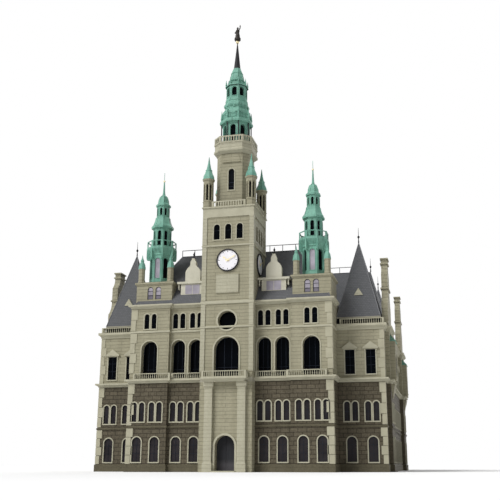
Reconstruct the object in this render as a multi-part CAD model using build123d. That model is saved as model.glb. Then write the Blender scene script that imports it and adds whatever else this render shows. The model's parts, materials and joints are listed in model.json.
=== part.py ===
from build123d import *
import math
import os

# Town hall with a clock tower: neo-Renaissance masonry, slate roofs and copper spires.
# Every size below is in metres of the full-size building. X runs along the front, Y from the
# front of the tower to the rear, Z up from the ground. write_node() turns them into
# millimetres of the 1:2 model and puts the origin under the middle of the building.

MODEL_SCALE = 0.5
MM = 1000 * MODEL_SCALE  # model millimetres for one metre of the building
SEAT = 0.3 / MM          # clearance of a piece that sits in or round another one
JOINT = 1.0 / MM         # open joint between like pieces that share a node
MOVING = 5.0 / MM        # least clearance of a moving piece

# Plan
TOWER_HALF = 3.5
TOWER_DEPTH = 7.0
TOWER_SIDE_WALL = 1.0
MID_FRONT = 1.504
MID_WIDTH = 4.817
RISALIT_WIDTH = 5.44
WING_WIDTH = 6.213
RISALIT_IN = TOWER_HALF + MID_WIDTH
RISALIT_OUT = RISALIT_IN + RISALIT_WIDTH
RISALIT_FRONT = 0.973
WING_HALF = RISALIT_OUT + WING_WIDTH
WING_FRONT = 5.30
MIDDLE = 24.0            # the rear mirrors the front about this Y
SIDE_BAY_MIDDLE = 10.6
SIDE_BAY_HALF = 2.6
SIDE_BAY_PROJECTION = 0.53
WALL = 1.2
PORTAL_FRONT = -0.1
PORTAL_WALL = 0.9
TOWER_WALL = 1.3

# Levels
PLINTH_TOP = 0.975
GROUND_FLOOR_TOP = 0.15
STRING_1 = (5.57, 5.86)
MAIN_CORNICE = (11.38, 11.90)
STRING_2 = (18.15, 18.45)
WING_CORNICE = (18.30, 19.08)
WING_EAVES = 19.97
EAVES_CORNICE = (21.50, 22.03)
RIDGE = 30.7
FLOOR_THICKNESS = 0.30
DECK_THICKNESS = 0.15

# Projections of the mouldings
PLINTH_PROJECTION = 0.14
STRING_PROJECTION = 0.12
MAIN_CORNICE_PROJECTION = 0.50
EAVES_PROJECTION = 0.45
EAVES_RETURN = 0.2       # how far the centre's eaves cornice runs back past the wing's front

# Windows: half width, sill, head, arched. Pairs stand at PAIR_OFFSET each side of a bay's axis.
GROUND_WINDOW = (0.62, 1.256, 4.405, True)
FIRST_WINDOW = (0.375, 6.38, 8.88, True)
WING_MAIN_WINDOW = (0.64, 12.44, 15.65, False)
MID_MAIN_WINDOW = (0.95, 12.05, 17.13, True)
RISALIT_MAIN_WINDOW = (1.13, 12.05, 17.03, True)
UPPER_WINDOW = (0.35, 18.70, 20.75, True)
FIRST_PAIR_OFFSET = 0.53
UPPER_PAIR_OFFSET = 0.51
MID_BAYS = (TOWER_HALF + 1.20, TOWER_HALF + 3.62)
RISALIT_AXIS = RISALIT_IN + 2.723
RISALIT_BAYS = (RISALIT_AXIS - 1.16, RISALIT_AXIS + 1.28)
WING_BAYS = (RISALIT_OUT + 1.693, RISALIT_OUT + 4.443)
REAR_CENTRE_BAYS = (-2.35, 0.0, 2.35)
SIDE_BAY_SPACING = 2.7
SIDE_BAY_COUNT = 8
SURROUND_WIDTH = 0.14
SURROUND_PROJECTION = 0.07
PANE_THICKNESS = 0.05
SHALLOW_REVEAL = 0.12
DEEP_REVEAL = 0.90

# Portal and doors
DOOR_HALF = 1.30
DOOR_SPRING = 3.20
DOOR_OVERLAP = 0.08
DOOR_SURROUND_WIDTH = 0.26
DOOR_SURROUND_PROJECTION = 0.16
DOOR_THICKNESS = 0.08
DOOR_HINGE_X = 1.45
DOOR_PIN_RADIUS = 0.03
DOOR_RING_RADIUS = 0.048
DOOR_RING_HEIGHT = 0.07
PILASTER_IN = 1.67
PILASTER_OUT = 2.72
PILASTER_FRONT = -0.55
BALCONY_HALF = 3.03
BALCONY_FRONT = -1.3
BALCONY_LEVELS = (11.22, 11.81)
BALUSTRADE_HEIGHT = 0.77
BALUSTRADE_THICKNESS = 0.22

# Tower
TOWER_BALCONY_WINDOW = (1.67, 11.95, 17.13, True)
OCULUS_Z = 19.30
OCULUS_RADIUS = 1.25
CLOCK_Z = 27.46
DIAL_RADIUS = 1.55
DIAL_THICKNESS = 0.10
BEZEL_WIDTH = 0.14
BEZEL_THICKNESS = 0.18
SLEEVE_RADIUS = 0.12
ARBOR_RADIUS = 0.06
HAND_THICKNESS = 0.03
HAND_GAP = 0.03
MINUTE_HAND = 1.25
HOUR_HAND = 0.85
BELFRY_WINDOW = (0.43, 30.42, 32.58, True)
BELFRY_OFFSET = 1.61
TOWER_BANDS = ((18.31, 18.59), (21.50, 21.97), (29.42, 29.68), (33.60, 34.80))
TOWER_BAND_PROJECTION = 0.16
TOWER_CORNICE = (34.80, 35.10)
TOWER_CORNICE_PROJECTION = 0.24
PARAPET_TOP = 35.92
STRIP_WIDTH = 0.53
STRIP_PROJECTION = 0.10
TURRET_INSET = 0.44
TURRET_RADIUS = 0.66
TURRET_TOP = 39.27
TURRET_CAP_TOP = 42.69
TURRET_SLOT = (0.15, 36.15, 38.5, True)
STAGE_HALF = 2.3
STAGE_CHAMFER = 0.73
STAGE_WALL = 0.45
STAGE_TOP = 43.35
STAGE_WINDOW = (0.42, 37.90, 41.04, True)
GALLERY_HALF = 2.8
GALLERY_CHAMFER = 1.1
GALLERY_TOP = 45.0
GALLERY_RAIL = 0.95
GALLERY_RAIL_THICKNESS = 0.16

# Copper spire above the gallery
SPIRE_LANTERN_HALF = 1.84
SPIRE_LANTERN_TOP = 48.45
SPIRE_LANTERN_OPENING = (0.40, 45.3, 48.1)
SPIRE_BELL = ((2.20, 48.45), (2.20, 48.95), (1.93, 49.15), (1.93, 50.10), (1.80, 50.45), (1.55, 50.85),
              (1.55, 51.05), (1.66, 51.15), (1.66, 51.65), (1.50, 51.90), (1.46, 52.45))
SPIRE_LANTERN_2_HALF = 1.42
SPIRE_LANTERN_2_TOP = 54.45
SPIRE_LANTERN_2_OPENING = (0.36, 52.8, 54.2)
SPIRE_CAP = ((1.58, 54.45), (1.58, 54.60), (1.30, 54.80), (1.04, 55.10), (1.02, 55.30), (1.12, 55.38),
             (1.12, 55.62), (0.96, 55.80), (0.92, 56.20), (0.78, 56.70), (0.82, 56.78), (0.78, 56.90),
             (0.52, 57.64))
SPIRE_COLUMN_AXIS = 2.16  # distance of the columns and pinnacles from the middle of the spire
SPIRE_COLUMN_RADIUS = 0.08
SPIRE_PINNACLE = ((0.13, 0.0), (0.13, 0.35), (0.17, 0.45), (0.02, 1.75))
SPIRE_PINNACLE_2_AXIS = 1.58
SPIRE_PINNACLE_2 = ((0.10, 0.0), (0.10, 0.2), (0.13, 0.3), (0.02, 1.1))
SPIKE_RADIUS = 0.53
SPIKE_TOP = 61.80
BALL_Z = 62.13
BALL_RADIUS = 0.24
BALL_FLAT = 0.18         # height of the ball's level seats over and under its middle
STATUE_FIGURE = ((0.20, 0.0), (0.44, 0.14), (0.47, 0.20), (0.47, 0.48), (0.36, 0.55), (0.34, 0.90), (0.25, 1.35),
                 (0.29, 1.68), (0.24, 1.86), (0.09, 1.96), (0.15, 2.08), (0.15, 2.22), (0.05, 2.36))
TORCH_TOP = 65.00

# Roofs
ROOF_THICKNESS = 0.35    # measured straight down
CENTRE_ROOF_HALF = RISALIT_OUT - 0.107
FRONT_EAVES = 1.25
VALLEY = 16.35
FRONT_RIDGE_HALF = CENTRE_ROOF_HALF - 4.15
MIDDLE_RIDGE_HALF = WING_HALF - 3.10
PAVILION_APEX = (WING_HALF - 3.27, WING_FRONT + 3.45, 31.3)
PAVILION_HALF = 2.94
PAVILION_HALF_DEPTH = 3.1
EAVES_SETBACK = 0.45

# Attic blocks and their lantern turrets over the risalits
ATTIC_HALF = 2.6
ATTIC_FRONT = 1.9
ATTIC_DEPTH = 5.0
ATTIC_LEVELS = (22.03, 24.90)
ATTIC_CORNICE_TOP = 25.40
ATTIC_CORNICE_PROJECTION = 0.22
ATTIC_WALL = 0.35
ATTIC_WINDOW = (0.41, 23.0, 24.75, True)
ATTIC_WINDOW_OFFSET = 0.58
LANTERN_AXIS_Y = 4.2
LANTERN_LOW = (ATTIC_CORNICE_TOP, 29.5)
LANTERN_LOW_HALF = 1.5
LANTERN_LOW_OPENING = (0.38, 26.2, 29.15)
LANTERN_GALLERY = 30.7
LANTERN_HEAD = ((1.5, 29.5), (1.60, 29.6), (1.60, 29.8), (1.90, 30.35), (1.97, 30.5), (1.97, LANTERN_GALLERY))
LANTERN_RAIL = 1.0
LANTERN_MID_HALF = 1.2
LANTERN_MID_TOP = 33.71
LANTERN_MID_OPENING = (0.26, 31.1, 33.3)
LANTERN_TOP_HALF = 0.85
LANTERN_BELL = ((1.47, 33.71), (1.47, 33.95), (1.20, 34.35), (1.00, 35.0), (0.95, 35.42))
LANTERN_TOP = 37.11
LANTERN_TOP_OPENING = (0.18, 35.7, 36.8)
LANTERN_DOME = ((0.99, 37.11), (0.99, 37.35), (0.72, 37.63), (0.68, 38.1), (0.50, 38.66), (0.22, 38.9),
                (0.14, 39.4), (0.08, 41.0))
PINNACLE_OFFSET = 2.12
PINNACLE_RADIUS = 0.40
PINNACLE_BODY_TOP = 27.45
PINNACLE_TOP = 29.5

# Gabled dormers between the tower and the risalits
DORMER_AXIS = TOWER_HALF + 2.25
DORMER_FRONT = 2.6
DORMER_HALF = 1.68
DORMER_OVERHANG = 0.50
DORMER_LEVELS = (23.4, 25.10)
DORMER_CORNICE_TOP = 25.40
DORMER_DEPTH = 3.0
DORMER_GABLE_HALF = 1.08
DORMER_GABLE_TOP = 28.72
DORMER_BRACKET = (0.14, 24.30)
DORMER_FINIAL_TOP = 29.70

# Side gables and oriels
GABLE_TOP = 29.1
GABLE_THICKNESS = 0.85
GABLE_STEPS = ((22.4, 0.0), (24.6, 1.0), (26.6, 1.0), (28.3, 1.75))  # level, set back from the bay's corner
GABLE_LEDGES = ((24.5, 1.0), (28.2, 1.75), (GABLE_TOP - 0.2, 1.75))
GABLE_LEDGE = (0.14, 0.2)  # projection, height
ORIEL_OUT = WING_HALF + SIDE_BAY_PROJECTION + 0.70
ORIEL_HALF = 1.5
ORIEL_WALL = 0.20
ORIEL_TOP = 17.2
ORIEL_WINDOW = (0.80, 12.50, 15.60, True)
ORIEL_CORBEL = ((9.60, 0.12, 0.45), (10.20, 0.20, 0.95), (10.80, 0.36, 1.35), (11.38, 0.48, 1.50))
ORIEL_ROOF_TOP = 18.2


# ---------------------------------------------------------------- plain building blocks

def flat(points):
    """Flat face through corners in space."""
    return Face(Wire.make_polygon([Vector(*p) for p in points], close=True))


def solid_between(lower, upper):
    """Solid between two outlines with equally many corners."""
    n = len(lower)
    sides = [[lower[i], lower[(i + 1) % n], upper[(i + 1) % n], upper[i]] for i in range(n)]
    return Solid(Shell([flat(loop) for loop in [lower, upper, *sides]]))


def block(x0, x1, y0, y1, z0, z1):
    return Solid.make_box(x1 - x0, y1 - y0, z1 - z0).moved(Location((x0, y0, z0)))


def prism(outline, z0, z1):
    """Upright solid on a plan outline."""
    return Solid.extrude(flat([(x, y, z0) for x, y in outline]), Vector(0, 0, z1 - z0))


def ngon(half, z, sides=8, cx=0.0, cy=0.0):
    """Corners of a regular plan outline whose flats lie half from its axis."""
    turn = 2 * math.pi / sides
    radius = half / math.cos(turn / 2)
    return [(cx + radius * math.cos((i + 0.5) * turn), cy + radius * math.sin((i + 0.5) * turn), z)
            for i in range(sides)]


def stacked(rings):
    """One solid through level outlines with equally many corners, bottom to top."""
    faces = [flat(rings[0]), flat(rings[-1])]
    for low, high in zip(rings, rings[1:]):
        for i in range(len(low)):
            j = (i + 1) % len(low)
            faces.append(flat([low[i], low[j], high[j], high[i]]))
    return Solid(Shell(faces))


def turned(profile, cx, cy):
    """Round solid about an upright axis; the profile is (radius, height), bottom to top."""
    points = [(0, 0, profile[0][1]), *[(r, 0, z) for r, z in profile], (0, 0, profile[-1][1])]
    return revolve(flat(points), Axis.Z).moved(Location((cx, cy, 0))).solids()


def solids_of(shape):
    return list(shape.solids())


def mirrored_x(solids):
    return [s for solid in solids for s in solids_of(mirror(solid, about=Plane.YZ))]


def mirrored_y(solids):
    about = Plane(origin=(0, MIDDLE, 0), x_dir=(1, 0, 0), z_dir=(0, 1, 0))
    return [s for solid in solids for s in solids_of(mirror(solid, about=about))]


def both_sides(solids):
    return [*solids, *mirrored_x(solids)]


def four_corners(solids):
    right = [*solids, *mirrored_y(solids)]
    return both_sides(right)


def cut(solid, *tools):
    """The solids that are left of one solid after cutting."""
    left = solid
    for tool in tools:
        left = left - tool
    return solids_of(left)


def window_wire(centre, window, grow=0.0):
    """Outline of an opening in the XZ plane, grown by an equal margin on all sides."""
    half, sill, head, arched = window
    left, right = centre - half - grow, centre + half + grow
    low, high = sill - grow, head + grow
    if not arched:
        corners = [(left, low), (right, low), (right, high), (left, high)]
        return Wire.make_polygon([Vector(x, 0, z) for x, z in corners], close=True)
    spring = head - half
    return Wire([
        Edge.make_line((left, 0, low), (right, 0, low)),
        Edge.make_line((right, 0, low), (right, 0, spring)),
        Edge.make_three_point_arc((right, 0, spring), (centre, 0, high), (left, 0, spring)),
        Edge.make_line((left, 0, spring), (left, 0, low)),
    ])


def slab_with_holes(u0, u1, z0, z1, thickness, wires):
    """Wall slab in the XZ plane with its face at Y 0 and its back at Y thickness."""
    outer = Wire.make_polygon([Vector(u0, 0, z0), Vector(u1, 0, z0), Vector(u1, 0, z1), Vector(u0, 0, z1)],
                              close=True)
    return Solid.extrude(Face(outer, wires), Vector(0, thickness, 0))


def symmetric_wire(bottom, right):
    """Closed outline from a bottom edge and the edges up its right side to the middle."""
    left = [edge.mirror(Plane.YZ) for edge in reversed(right)]
    return Wire([bottom, *right, *left])


def at_front(solid, face_y):
    return solid.moved(Location((0, face_y, 0)))


def at_right(solid, face_x):
    """Turns a piece made for a front so that it faces +X, with its U along +Y."""
    return solid.rotate(Axis.Z, 90).moved(Location((face_x, 0, 0)))


def holes(openings, z0, z1):
    """Wires of the openings that lie between two levels."""
    return [window_wire(centre, window) for centre, window in openings if z0 <= window[1] and window[2] <= z1]


def pane(centre, window, setback):
    """Glass that just clears its opening."""
    face = Face(window_wire(centre, window, -SEAT))
    return Solid.extrude(face, Vector(0, PANE_THICKNESS, 0)).moved(Location((0, setback, 0)))


def surround(centre, window, width=SURROUND_WIDTH, projection=SURROUND_PROJECTION):
    """Raised stone band up both sides of an opening and over its head."""
    half, sill, head, arched = window
    outer, spring = half + width, head - half
    feet = [Edge.make_line((centre + side * half, 0, sill), (centre + side * outer, 0, sill)) for side in (-1, 1)]
    if arched:
        edges = [Edge.make_line((centre + side * h, 0, sill), (centre + side * h, 0, spring))
                 for side in (-1, 1) for h in (half, outer)]
        edges += [Edge.make_three_point_arc((centre - h, 0, spring), (centre, 0, spring + h), (centre + h, 0, spring))
                  for h in (half, outer)]
        face = Face(Wire([*feet, *edges]))
    else:
        face = flat([(centre - outer, 0, sill), (centre - half, 0, sill), (centre - half, 0, head),
                     (centre + half, 0, head), (centre + half, 0, sill), (centre + outer, 0, sill),
                     (centre + outer, 0, head + width), (centre - outer, 0, head + width)])
    return Solid.extrude(face, Vector(0, -projection, 0))


def runs(path, profile, closed=False):
    """Mitred moulding, one length for each straight stretch of a plan path.

    The outside lies to the right of the path. The profile is (projection, height)."""
    stretches = list(zip(path, path[1:] + path[:1] if closed else path[1:]))
    normals = []
    for (x0, y0), (x1, y1) in stretches:
        length = math.hypot(x1 - x0, y1 - y0)
        normals.append(((y1 - y0) / length, (x0 - x1) / length))
    last = len(stretches) - 1
    lengths = []
    for i, (start, end) in enumerate(stretches):
        nx, ny = normals[i]
        before = normals[i - 1] if closed or i > 0 else (0, 0)
        after = normals[(i + 1) % len(stretches)] if closed or i < last else (0, 0)
        ends = []
        for (x, y), other, shift in ((start, before, JOINT), (end, after, -JOINT)):
            mx, my = nx + other[0], ny + other[1]
            ends.append([(x + p * mx - shift * ny, y + p * my + shift * nx, z) for p, z in profile])
        lengths.append(solid_between(*ends))
    return lengths


def band(low, high, projection, inner=0.0):
    """Flat band with a weathered top."""
    drop = 0.15 * (high - low)
    return [(inner, low), (projection * 0.7, low), (projection, low + drop), (projection, high - drop),
            (inner, high)]


def cornice(low, high, projection, inner=0.0):
    """Cornice that steps and slopes out to its edge."""
    rise = high - low
    return [(inner, low), (projection * 0.25, low), (projection * 0.35, low + 0.3 * rise),
            (projection * 0.8, low + 0.55 * rise), (projection, low + 0.6 * rise),
            (projection, high), (inner, high)]


# ---------------------------------------------------------------- plan paths and façade bays

BAY0, BAY1 = SIDE_BAY_MIDDLE - SIDE_BAY_HALF, SIDE_BAY_MIDDLE + SIDE_BAY_HALF
BAY_FACE = WING_HALF + SIDE_BAY_PROJECTION
REAR = 2 * MIDDLE        # a front depth Y stands at REAR - Y in the rear


def facade_path(with_wings=True, with_side_bays=True):
    """Right half of the outer wall line, from the tower round to the middle of the rear."""
    front = [(RISALIT_IN, MID_FRONT), (RISALIT_IN, RISALIT_FRONT), (RISALIT_OUT, RISALIT_FRONT)]
    if with_wings:
        front += [(RISALIT_OUT, WING_FRONT), (WING_HALF, WING_FRONT)]
    if with_wings and with_side_bays:
        front += [(WING_HALF, BAY0), (BAY_FACE, BAY0), (BAY_FACE, BAY1), (WING_HALF, BAY1)]
    rear = [(x, REAR - y) for x, y in reversed(front)]
    return front + rear


def outer_path(**which):
    """Whole outer wall line, open at the tower."""
    right = facade_path(**which)
    left = [(-x, y) for x, y in reversed(right)]
    return [(TOWER_HALF, MID_FRONT), *right, *left, (-TOWER_HALF, MID_FRONT)]


def pairs(bays, window, offset):
    return [(bay + side * offset, window) for bay in bays for side in (-1, 1)]


def singles(bays, window):
    return [(bay, window) for bay in bays]


def storeys(bays, main, upper_bays=()):
    """Openings of a façade stretch: ground, first, main and upper storey."""
    return [*singles(bays, GROUND_WINDOW), *pairs(bays, FIRST_WINDOW, FIRST_PAIR_OFFSET), *main,
            *pairs(upper_bays, UPPER_WINDOW, UPPER_PAIR_OFFSET)]


MID_OPENINGS = storeys(MID_BAYS, singles(MID_BAYS, MID_MAIN_WINDOW), MID_BAYS)
RISALIT_OPENINGS = storeys(RISALIT_BAYS, singles((RISALIT_AXIS,), RISALIT_MAIN_WINDOW), (RISALIT_AXIS,))
WING_OPENINGS = storeys(WING_BAYS, singles(WING_BAYS, WING_MAIN_WINDOW))
REAR_CENTRE_OPENINGS = storeys(REAR_CENTRE_BAYS, singles(REAR_CENTRE_BAYS, MID_MAIN_WINDOW), REAR_CENTRE_BAYS)
SIDE_FIRST = MIDDLE - SIDE_BAY_SPACING * (SIDE_BAY_COUNT - 1) / 2
SIDE_BAYS = [SIDE_FIRST + SIDE_BAY_SPACING * i for i in range(SIDE_BAY_COUNT)]
SIDE_OPENINGS = storeys(SIDE_BAYS, singles(SIDE_BAYS, WING_MAIN_WINDOW))
GABLE_BAYS = (SIDE_BAY_MIDDLE - 1.3, SIDE_BAY_MIDDLE + 1.3)
GABLE_OPENINGS = storeys(GABLE_BAYS, [])
ORIEL_DOOR = (SIDE_BAY_MIDDLE, (0.9, 12.05, 15.4, False))
BEHIND_GABLE = [*GABLE_OPENINGS, ORIEL_DOOR]
MIRRORED_BEHIND_GABLE = [(REAR - centre, window) for centre, window in BEHIND_GABLE]


# ---------------------------------------------------------------- storeys

def floor_slabs(z0, z1):
    """Floor inside the outer walls: the main block, beside the tower, the front bays and the rear bay."""
    inner = WING_HALF - WALL
    back_of_wing_wall = WING_FRONT + WALL
    core = block(-inner, inner, TOWER_DEPTH, REAR - back_of_wing_wall, z0, z1)
    beside_tower = block(TOWER_HALF, inner, back_of_wing_wall, TOWER_DEPTH - JOINT, z0, z1)
    bay = block(TOWER_HALF, RISALIT_OUT - WALL, MID_FRONT + WALL, back_of_wing_wall - JOINT, z0, z1)
    rear_bay = block(WALL - RISALIT_OUT, RISALIT_OUT - WALL, REAR - back_of_wing_wall + JOINT,
                     REAR - MID_FRONT - WALL, z0, z1)
    return [core, *both_sides([beside_tower, bay]), rear_bay]


def ground_floor():
    inner = TOWER_HALF - TOWER_SIDE_WALL
    vestibule = block(-inner, inner, PORTAL_FRONT + PORTAL_WALL, TOWER_DEPTH - JOINT, 0, GROUND_FLOOR_TOP)
    sill = block(-DOOR_HALF, DOOR_HALF, PORTAL_FRONT, PORTAL_FRONT + PORTAL_WALL - JOINT, 0, GROUND_FLOOR_TOP)
    return [*floor_slabs(0, GROUND_FLOOR_TOP), vestibule, sill]


def main_floor():
    """Floor of the main storey, over the full thickness of the lower walls."""
    z0, z1 = MAIN_CORNICE
    side = WING_HALF - JOINT
    step = RISALIT_IN - JOINT
    rear_start = REAR - WING_FRONT + JOINT
    core = block(-side, side, TOWER_DEPTH, REAR - WING_FRONT, z0, z1)
    rear_middle = block(-step, step, rear_start, REAR - MID_FRONT, z0, z1)
    right = [block(TOWER_HALF, side, WING_FRONT, TOWER_DEPTH - JOINT, z0, z1),
             block(TOWER_HALF, step, MID_FRONT, WING_FRONT - JOINT, z0, z1),
             block(RISALIT_IN, RISALIT_OUT, RISALIT_FRONT, WING_FRONT - JOINT, z0, z1),
             block(RISALIT_IN, RISALIT_OUT, rear_start, REAR - RISALIT_FRONT, z0, z1)]
    return [core, rear_middle, *both_sides(right)]


def attic_floor():
    """Floor under the main roofs, inside the eaves cornice."""
    z0, z1 = EAVES_CORNICE
    half = RISALIT_OUT - WALL
    front = MID_FRONT + WALL
    core = block(-half, half, TOWER_DEPTH, REAR - front, z0, z1)
    beside_tower = block(TOWER_HALF, half, front, TOWER_DEPTH - JOINT, z0, z1)
    return [core, *both_sides([beside_tower])]


def risalit_wall(z0, z1):
    """Wall of the right risalit, as thick as brings its back in line with the middle wall's."""
    deep = MID_FRONT + WALL - RISALIT_FRONT
    return at_front(slab_with_holes(RISALIT_IN, RISALIT_OUT, z0, z1, deep, holes(RISALIT_OPENINGS, z0, z1)),
                    RISALIT_FRONT)


def front_walls(z0, z1):
    """Middle wall and risalit of the right half."""
    mid = slab_with_holes(TOWER_HALF, RISALIT_IN - JOINT, z0, z1, WALL, holes(MID_OPENINGS, z0, z1))
    return [at_front(mid, MID_FRONT), risalit_wall(z0, z1)]


def back_wall(z0, z1):
    """The front walls repeated in the rear, with plain bays in the tower's place."""
    openings = [*REAR_CENTRE_OPENINGS, *MID_OPENINGS, *((-centre, window) for centre, window in MID_OPENINGS)]
    half = RISALIT_IN - JOINT
    middle = slab_with_holes(-half, half, z0, z1, WALL, holes(openings, z0, z1))
    middle = middle.moved(Location((0, REAR - MID_FRONT - WALL, 0)))
    return [middle, *both_sides(mirrored_y([risalit_wall(z0, z1)]))]


def wing_walls(z0, z1):
    wing = at_front(slab_with_holes(RISALIT_OUT, WING_HALF, z0, z1, WALL, holes(WING_OPENINGS, z0, z1)), WING_FRONT)
    return four_corners([wing])


def side_walls(z0, z1):
    """Outer side walls, and the short return walls of the risalits."""
    inside = WING_FRONT + WALL
    openings = [*SIDE_OPENINGS, *BEHIND_GABLE, *MIRRORED_BEHIND_GABLE]
    side = at_right(slab_with_holes(inside, REAR - inside, z0, z1, WALL, holes(openings, z0, z1)), WING_HALF)
    return_wall = block(RISALIT_OUT - WALL, RISALIT_OUT, MID_FRONT + WALL, inside, z0, z1)
    return [*both_sides([side]), *four_corners([return_wall])]


def clerestory_walls():
    """Side walls of the centre block above the wing roofs."""
    inside = WING_FRONT + WALL
    wall = block(RISALIT_OUT - WALL, RISALIT_OUT, inside + JOINT, REAR - inside - JOINT,
                 STRING_2[1], EAVES_CORNICE[0])
    return both_sides([wall])


def plinth():
    profile = [(0, 0), (PLINTH_PROJECTION, 0), (PLINTH_PROJECTION, PLINTH_TOP - 0.06), (0, PLINTH_TOP)]
    return runs(outer_path(), profile)


def lower_string_course():
    return runs(outer_path(), band(*STRING_1, STRING_PROJECTION))


def upper_string_course():
    """Moulded band that carries the upper windows of the front and the rear."""
    half = facade_path(with_wings=False)
    front = [(TOWER_HALF, MID_FRONT), *half[:3], (RISALIT_OUT, WING_FRONT - EAVES_PROJECTION)]
    front_runs = both_sides(runs(front, band(*STRING_2, STRING_PROJECTION)))
    rear = [(x, REAR - y) for x, y in reversed(front[1:])]
    rear += [(-x, y) for x, y in reversed(rear)]
    return [*front_runs, *runs(rear, band(*STRING_2, STRING_PROJECTION))]


def main_cornice():
    return runs(outer_path(), cornice(*MAIN_CORNICE, MAIN_CORNICE_PROJECTION))


def eaves_cornices():
    """Top course of the centre block's walls, and of the wings' walls."""
    turn = WING_FRONT + EAVES_RETURN
    front = [(TOWER_HALF, MID_FRONT), *facade_path(with_wings=False)[:3], (RISALIT_OUT, turn)]
    rear = [(x, REAR - y) for x, y in reversed(front[1:])]
    rear += [(-x, y) for x, y in reversed(rear)]
    profile = cornice(*EAVES_CORNICE, EAVES_PROJECTION, -WALL)
    plain = block(RISALIT_OUT - WALL, RISALIT_OUT, turn + JOINT, REAR - turn - JOINT, *EAVES_CORNICE)
    wing = runs(facade_path()[3:-3], cornice(*WING_CORNICE, EAVES_PROJECTION, -WALL))
    return [*both_sides([*runs(front, profile), plain, *wing]), *runs(rear, profile)]


# ---------------------------------------------------------------- windows

def facade_pieces(make):
    """Applies make(centre, window, deep) to every opening and sets the results on their walls."""
    right = []
    for openings, face in ((MID_OPENINGS, MID_FRONT), (RISALIT_OPENINGS, RISALIT_FRONT),
                           (WING_OPENINGS, WING_FRONT)):
        right += [at_front(make(centre, window), face) for centre, window in openings]
    right += mirrored_y(right)
    right += [at_right(make(centre, window), WING_HALF) for centre, window in SIDE_OPENINGS]
    gable = [at_right(make(centre, window), BAY_FACE) for centre, window in GABLE_OPENINGS]
    right += [*gable, *mirrored_y(gable)]
    centre_pieces = [at_front(make(centre, window), MID_FRONT) for centre, window in REAR_CENTRE_OPENINGS]
    return [*both_sides(right), *mirrored_y(centre_pieces)]


def window_panes():
    def glass(centre, window):
        deep = window in (MID_MAIN_WINDOW, RISALIT_MAIN_WINDOW)
        return pane(centre, window, DEEP_REVEAL if deep else SHALLOW_REVEAL)

    tower = [pane(0, TOWER_BALCONY_WINDOW, DEEP_REVEAL), oculus_pane()]
    tower += [pane(offset, BELFRY_WINDOW, SHALLOW_REVEAL) for offset in (-BELFRY_OFFSET, 0, BELFRY_OFFSET)]
    attic = [at_front(pane(RISALIT_AXIS + side * ATTIC_WINDOW_OFFSET, ATTIC_WINDOW, SHALLOW_REVEAL), ATTIC_FRONT)
             for side in (-1, 1)]
    oriel = at_right(pane(SIDE_BAY_MIDDLE, ORIEL_WINDOW, SHALLOW_REVEAL), ORIEL_OUT)
    return [*facade_pieces(glass), *tower, *both_sides(attic), *four_corners([oriel])]


def window_surrounds():
    return facade_pieces(surround)


def oculus_pane():
    disc = Solid.make_cylinder(OCULUS_RADIUS - SEAT, PANE_THICKNESS)
    return disc.rotate(Axis.X, -90).moved(Location((0, DEEP_REVEAL, OCULUS_Z)))


# ---------------------------------------------------------------- portal and doors

DOOR_APEX = DOOR_SPRING + DOOR_HALF
DOOR_BACK = PORTAL_FRONT + PORTAL_WALL
HINGE_Y = DOOR_BACK + MOVING + DOOR_THICKNESS / 2


def portal_piers():
    pier = block(DOOR_HALF, TOWER_HALF, PORTAL_FRONT, DOOR_BACK, 0, BALCONY_LEVELS[0])
    return both_sides([pier])


def portal_head():
    """Wall over the doorway, with the arch in its underside."""
    outer = Wire([
        Edge.make_three_point_arc((-DOOR_HALF, 0, DOOR_SPRING), (0, 0, DOOR_APEX), (DOOR_HALF, 0, DOOR_SPRING)),
        Edge.make_line((DOOR_HALF, 0, DOOR_SPRING), (DOOR_HALF, 0, BALCONY_LEVELS[0])),
        Edge.make_line((DOOR_HALF, 0, BALCONY_LEVELS[0]), (-DOOR_HALF, 0, BALCONY_LEVELS[0])),
        Edge.make_line((-DOOR_HALF, 0, BALCONY_LEVELS[0]), (-DOOR_HALF, 0, DOOR_SPRING)),
    ])
    return [Solid.extrude(Face(outer), Vector(0, PORTAL_WALL, 0)).moved(Location((0, PORTAL_FRONT, 0)))]


def portal_pilasters():
    """Giant pilasters with a plinth block and a capital."""
    middle = (PILASTER_IN + PILASTER_OUT) / 2
    half = (PILASTER_OUT - PILASTER_IN) / 2
    rings = []
    for grow, z in ((0.10, 0), (0.10, 1.0), (0.02, 1.15), (0.0, 1.2), (0.0, 10.5), (0.05, 10.7), (0.05, 10.8),
                    (0.16, 11.0), (0.16, BALCONY_LEVELS[0])):
        x0, x1 = middle - half - grow, middle + half + grow
        rings.append([(x0, PORTAL_FRONT, z), (x0, PILASTER_FRONT - grow, z), (x1, PILASTER_FRONT - grow, z),
                      (x1, PORTAL_FRONT, z)])
    return both_sides([stacked(rings)])


def door_surround():
    frame = surround(0, (DOOR_HALF, 0, DOOR_APEX, True), DOOR_SURROUND_WIDTH, DOOR_SURROUND_PROJECTION)
    return [at_front(frame, PORTAL_FRONT)]


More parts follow.
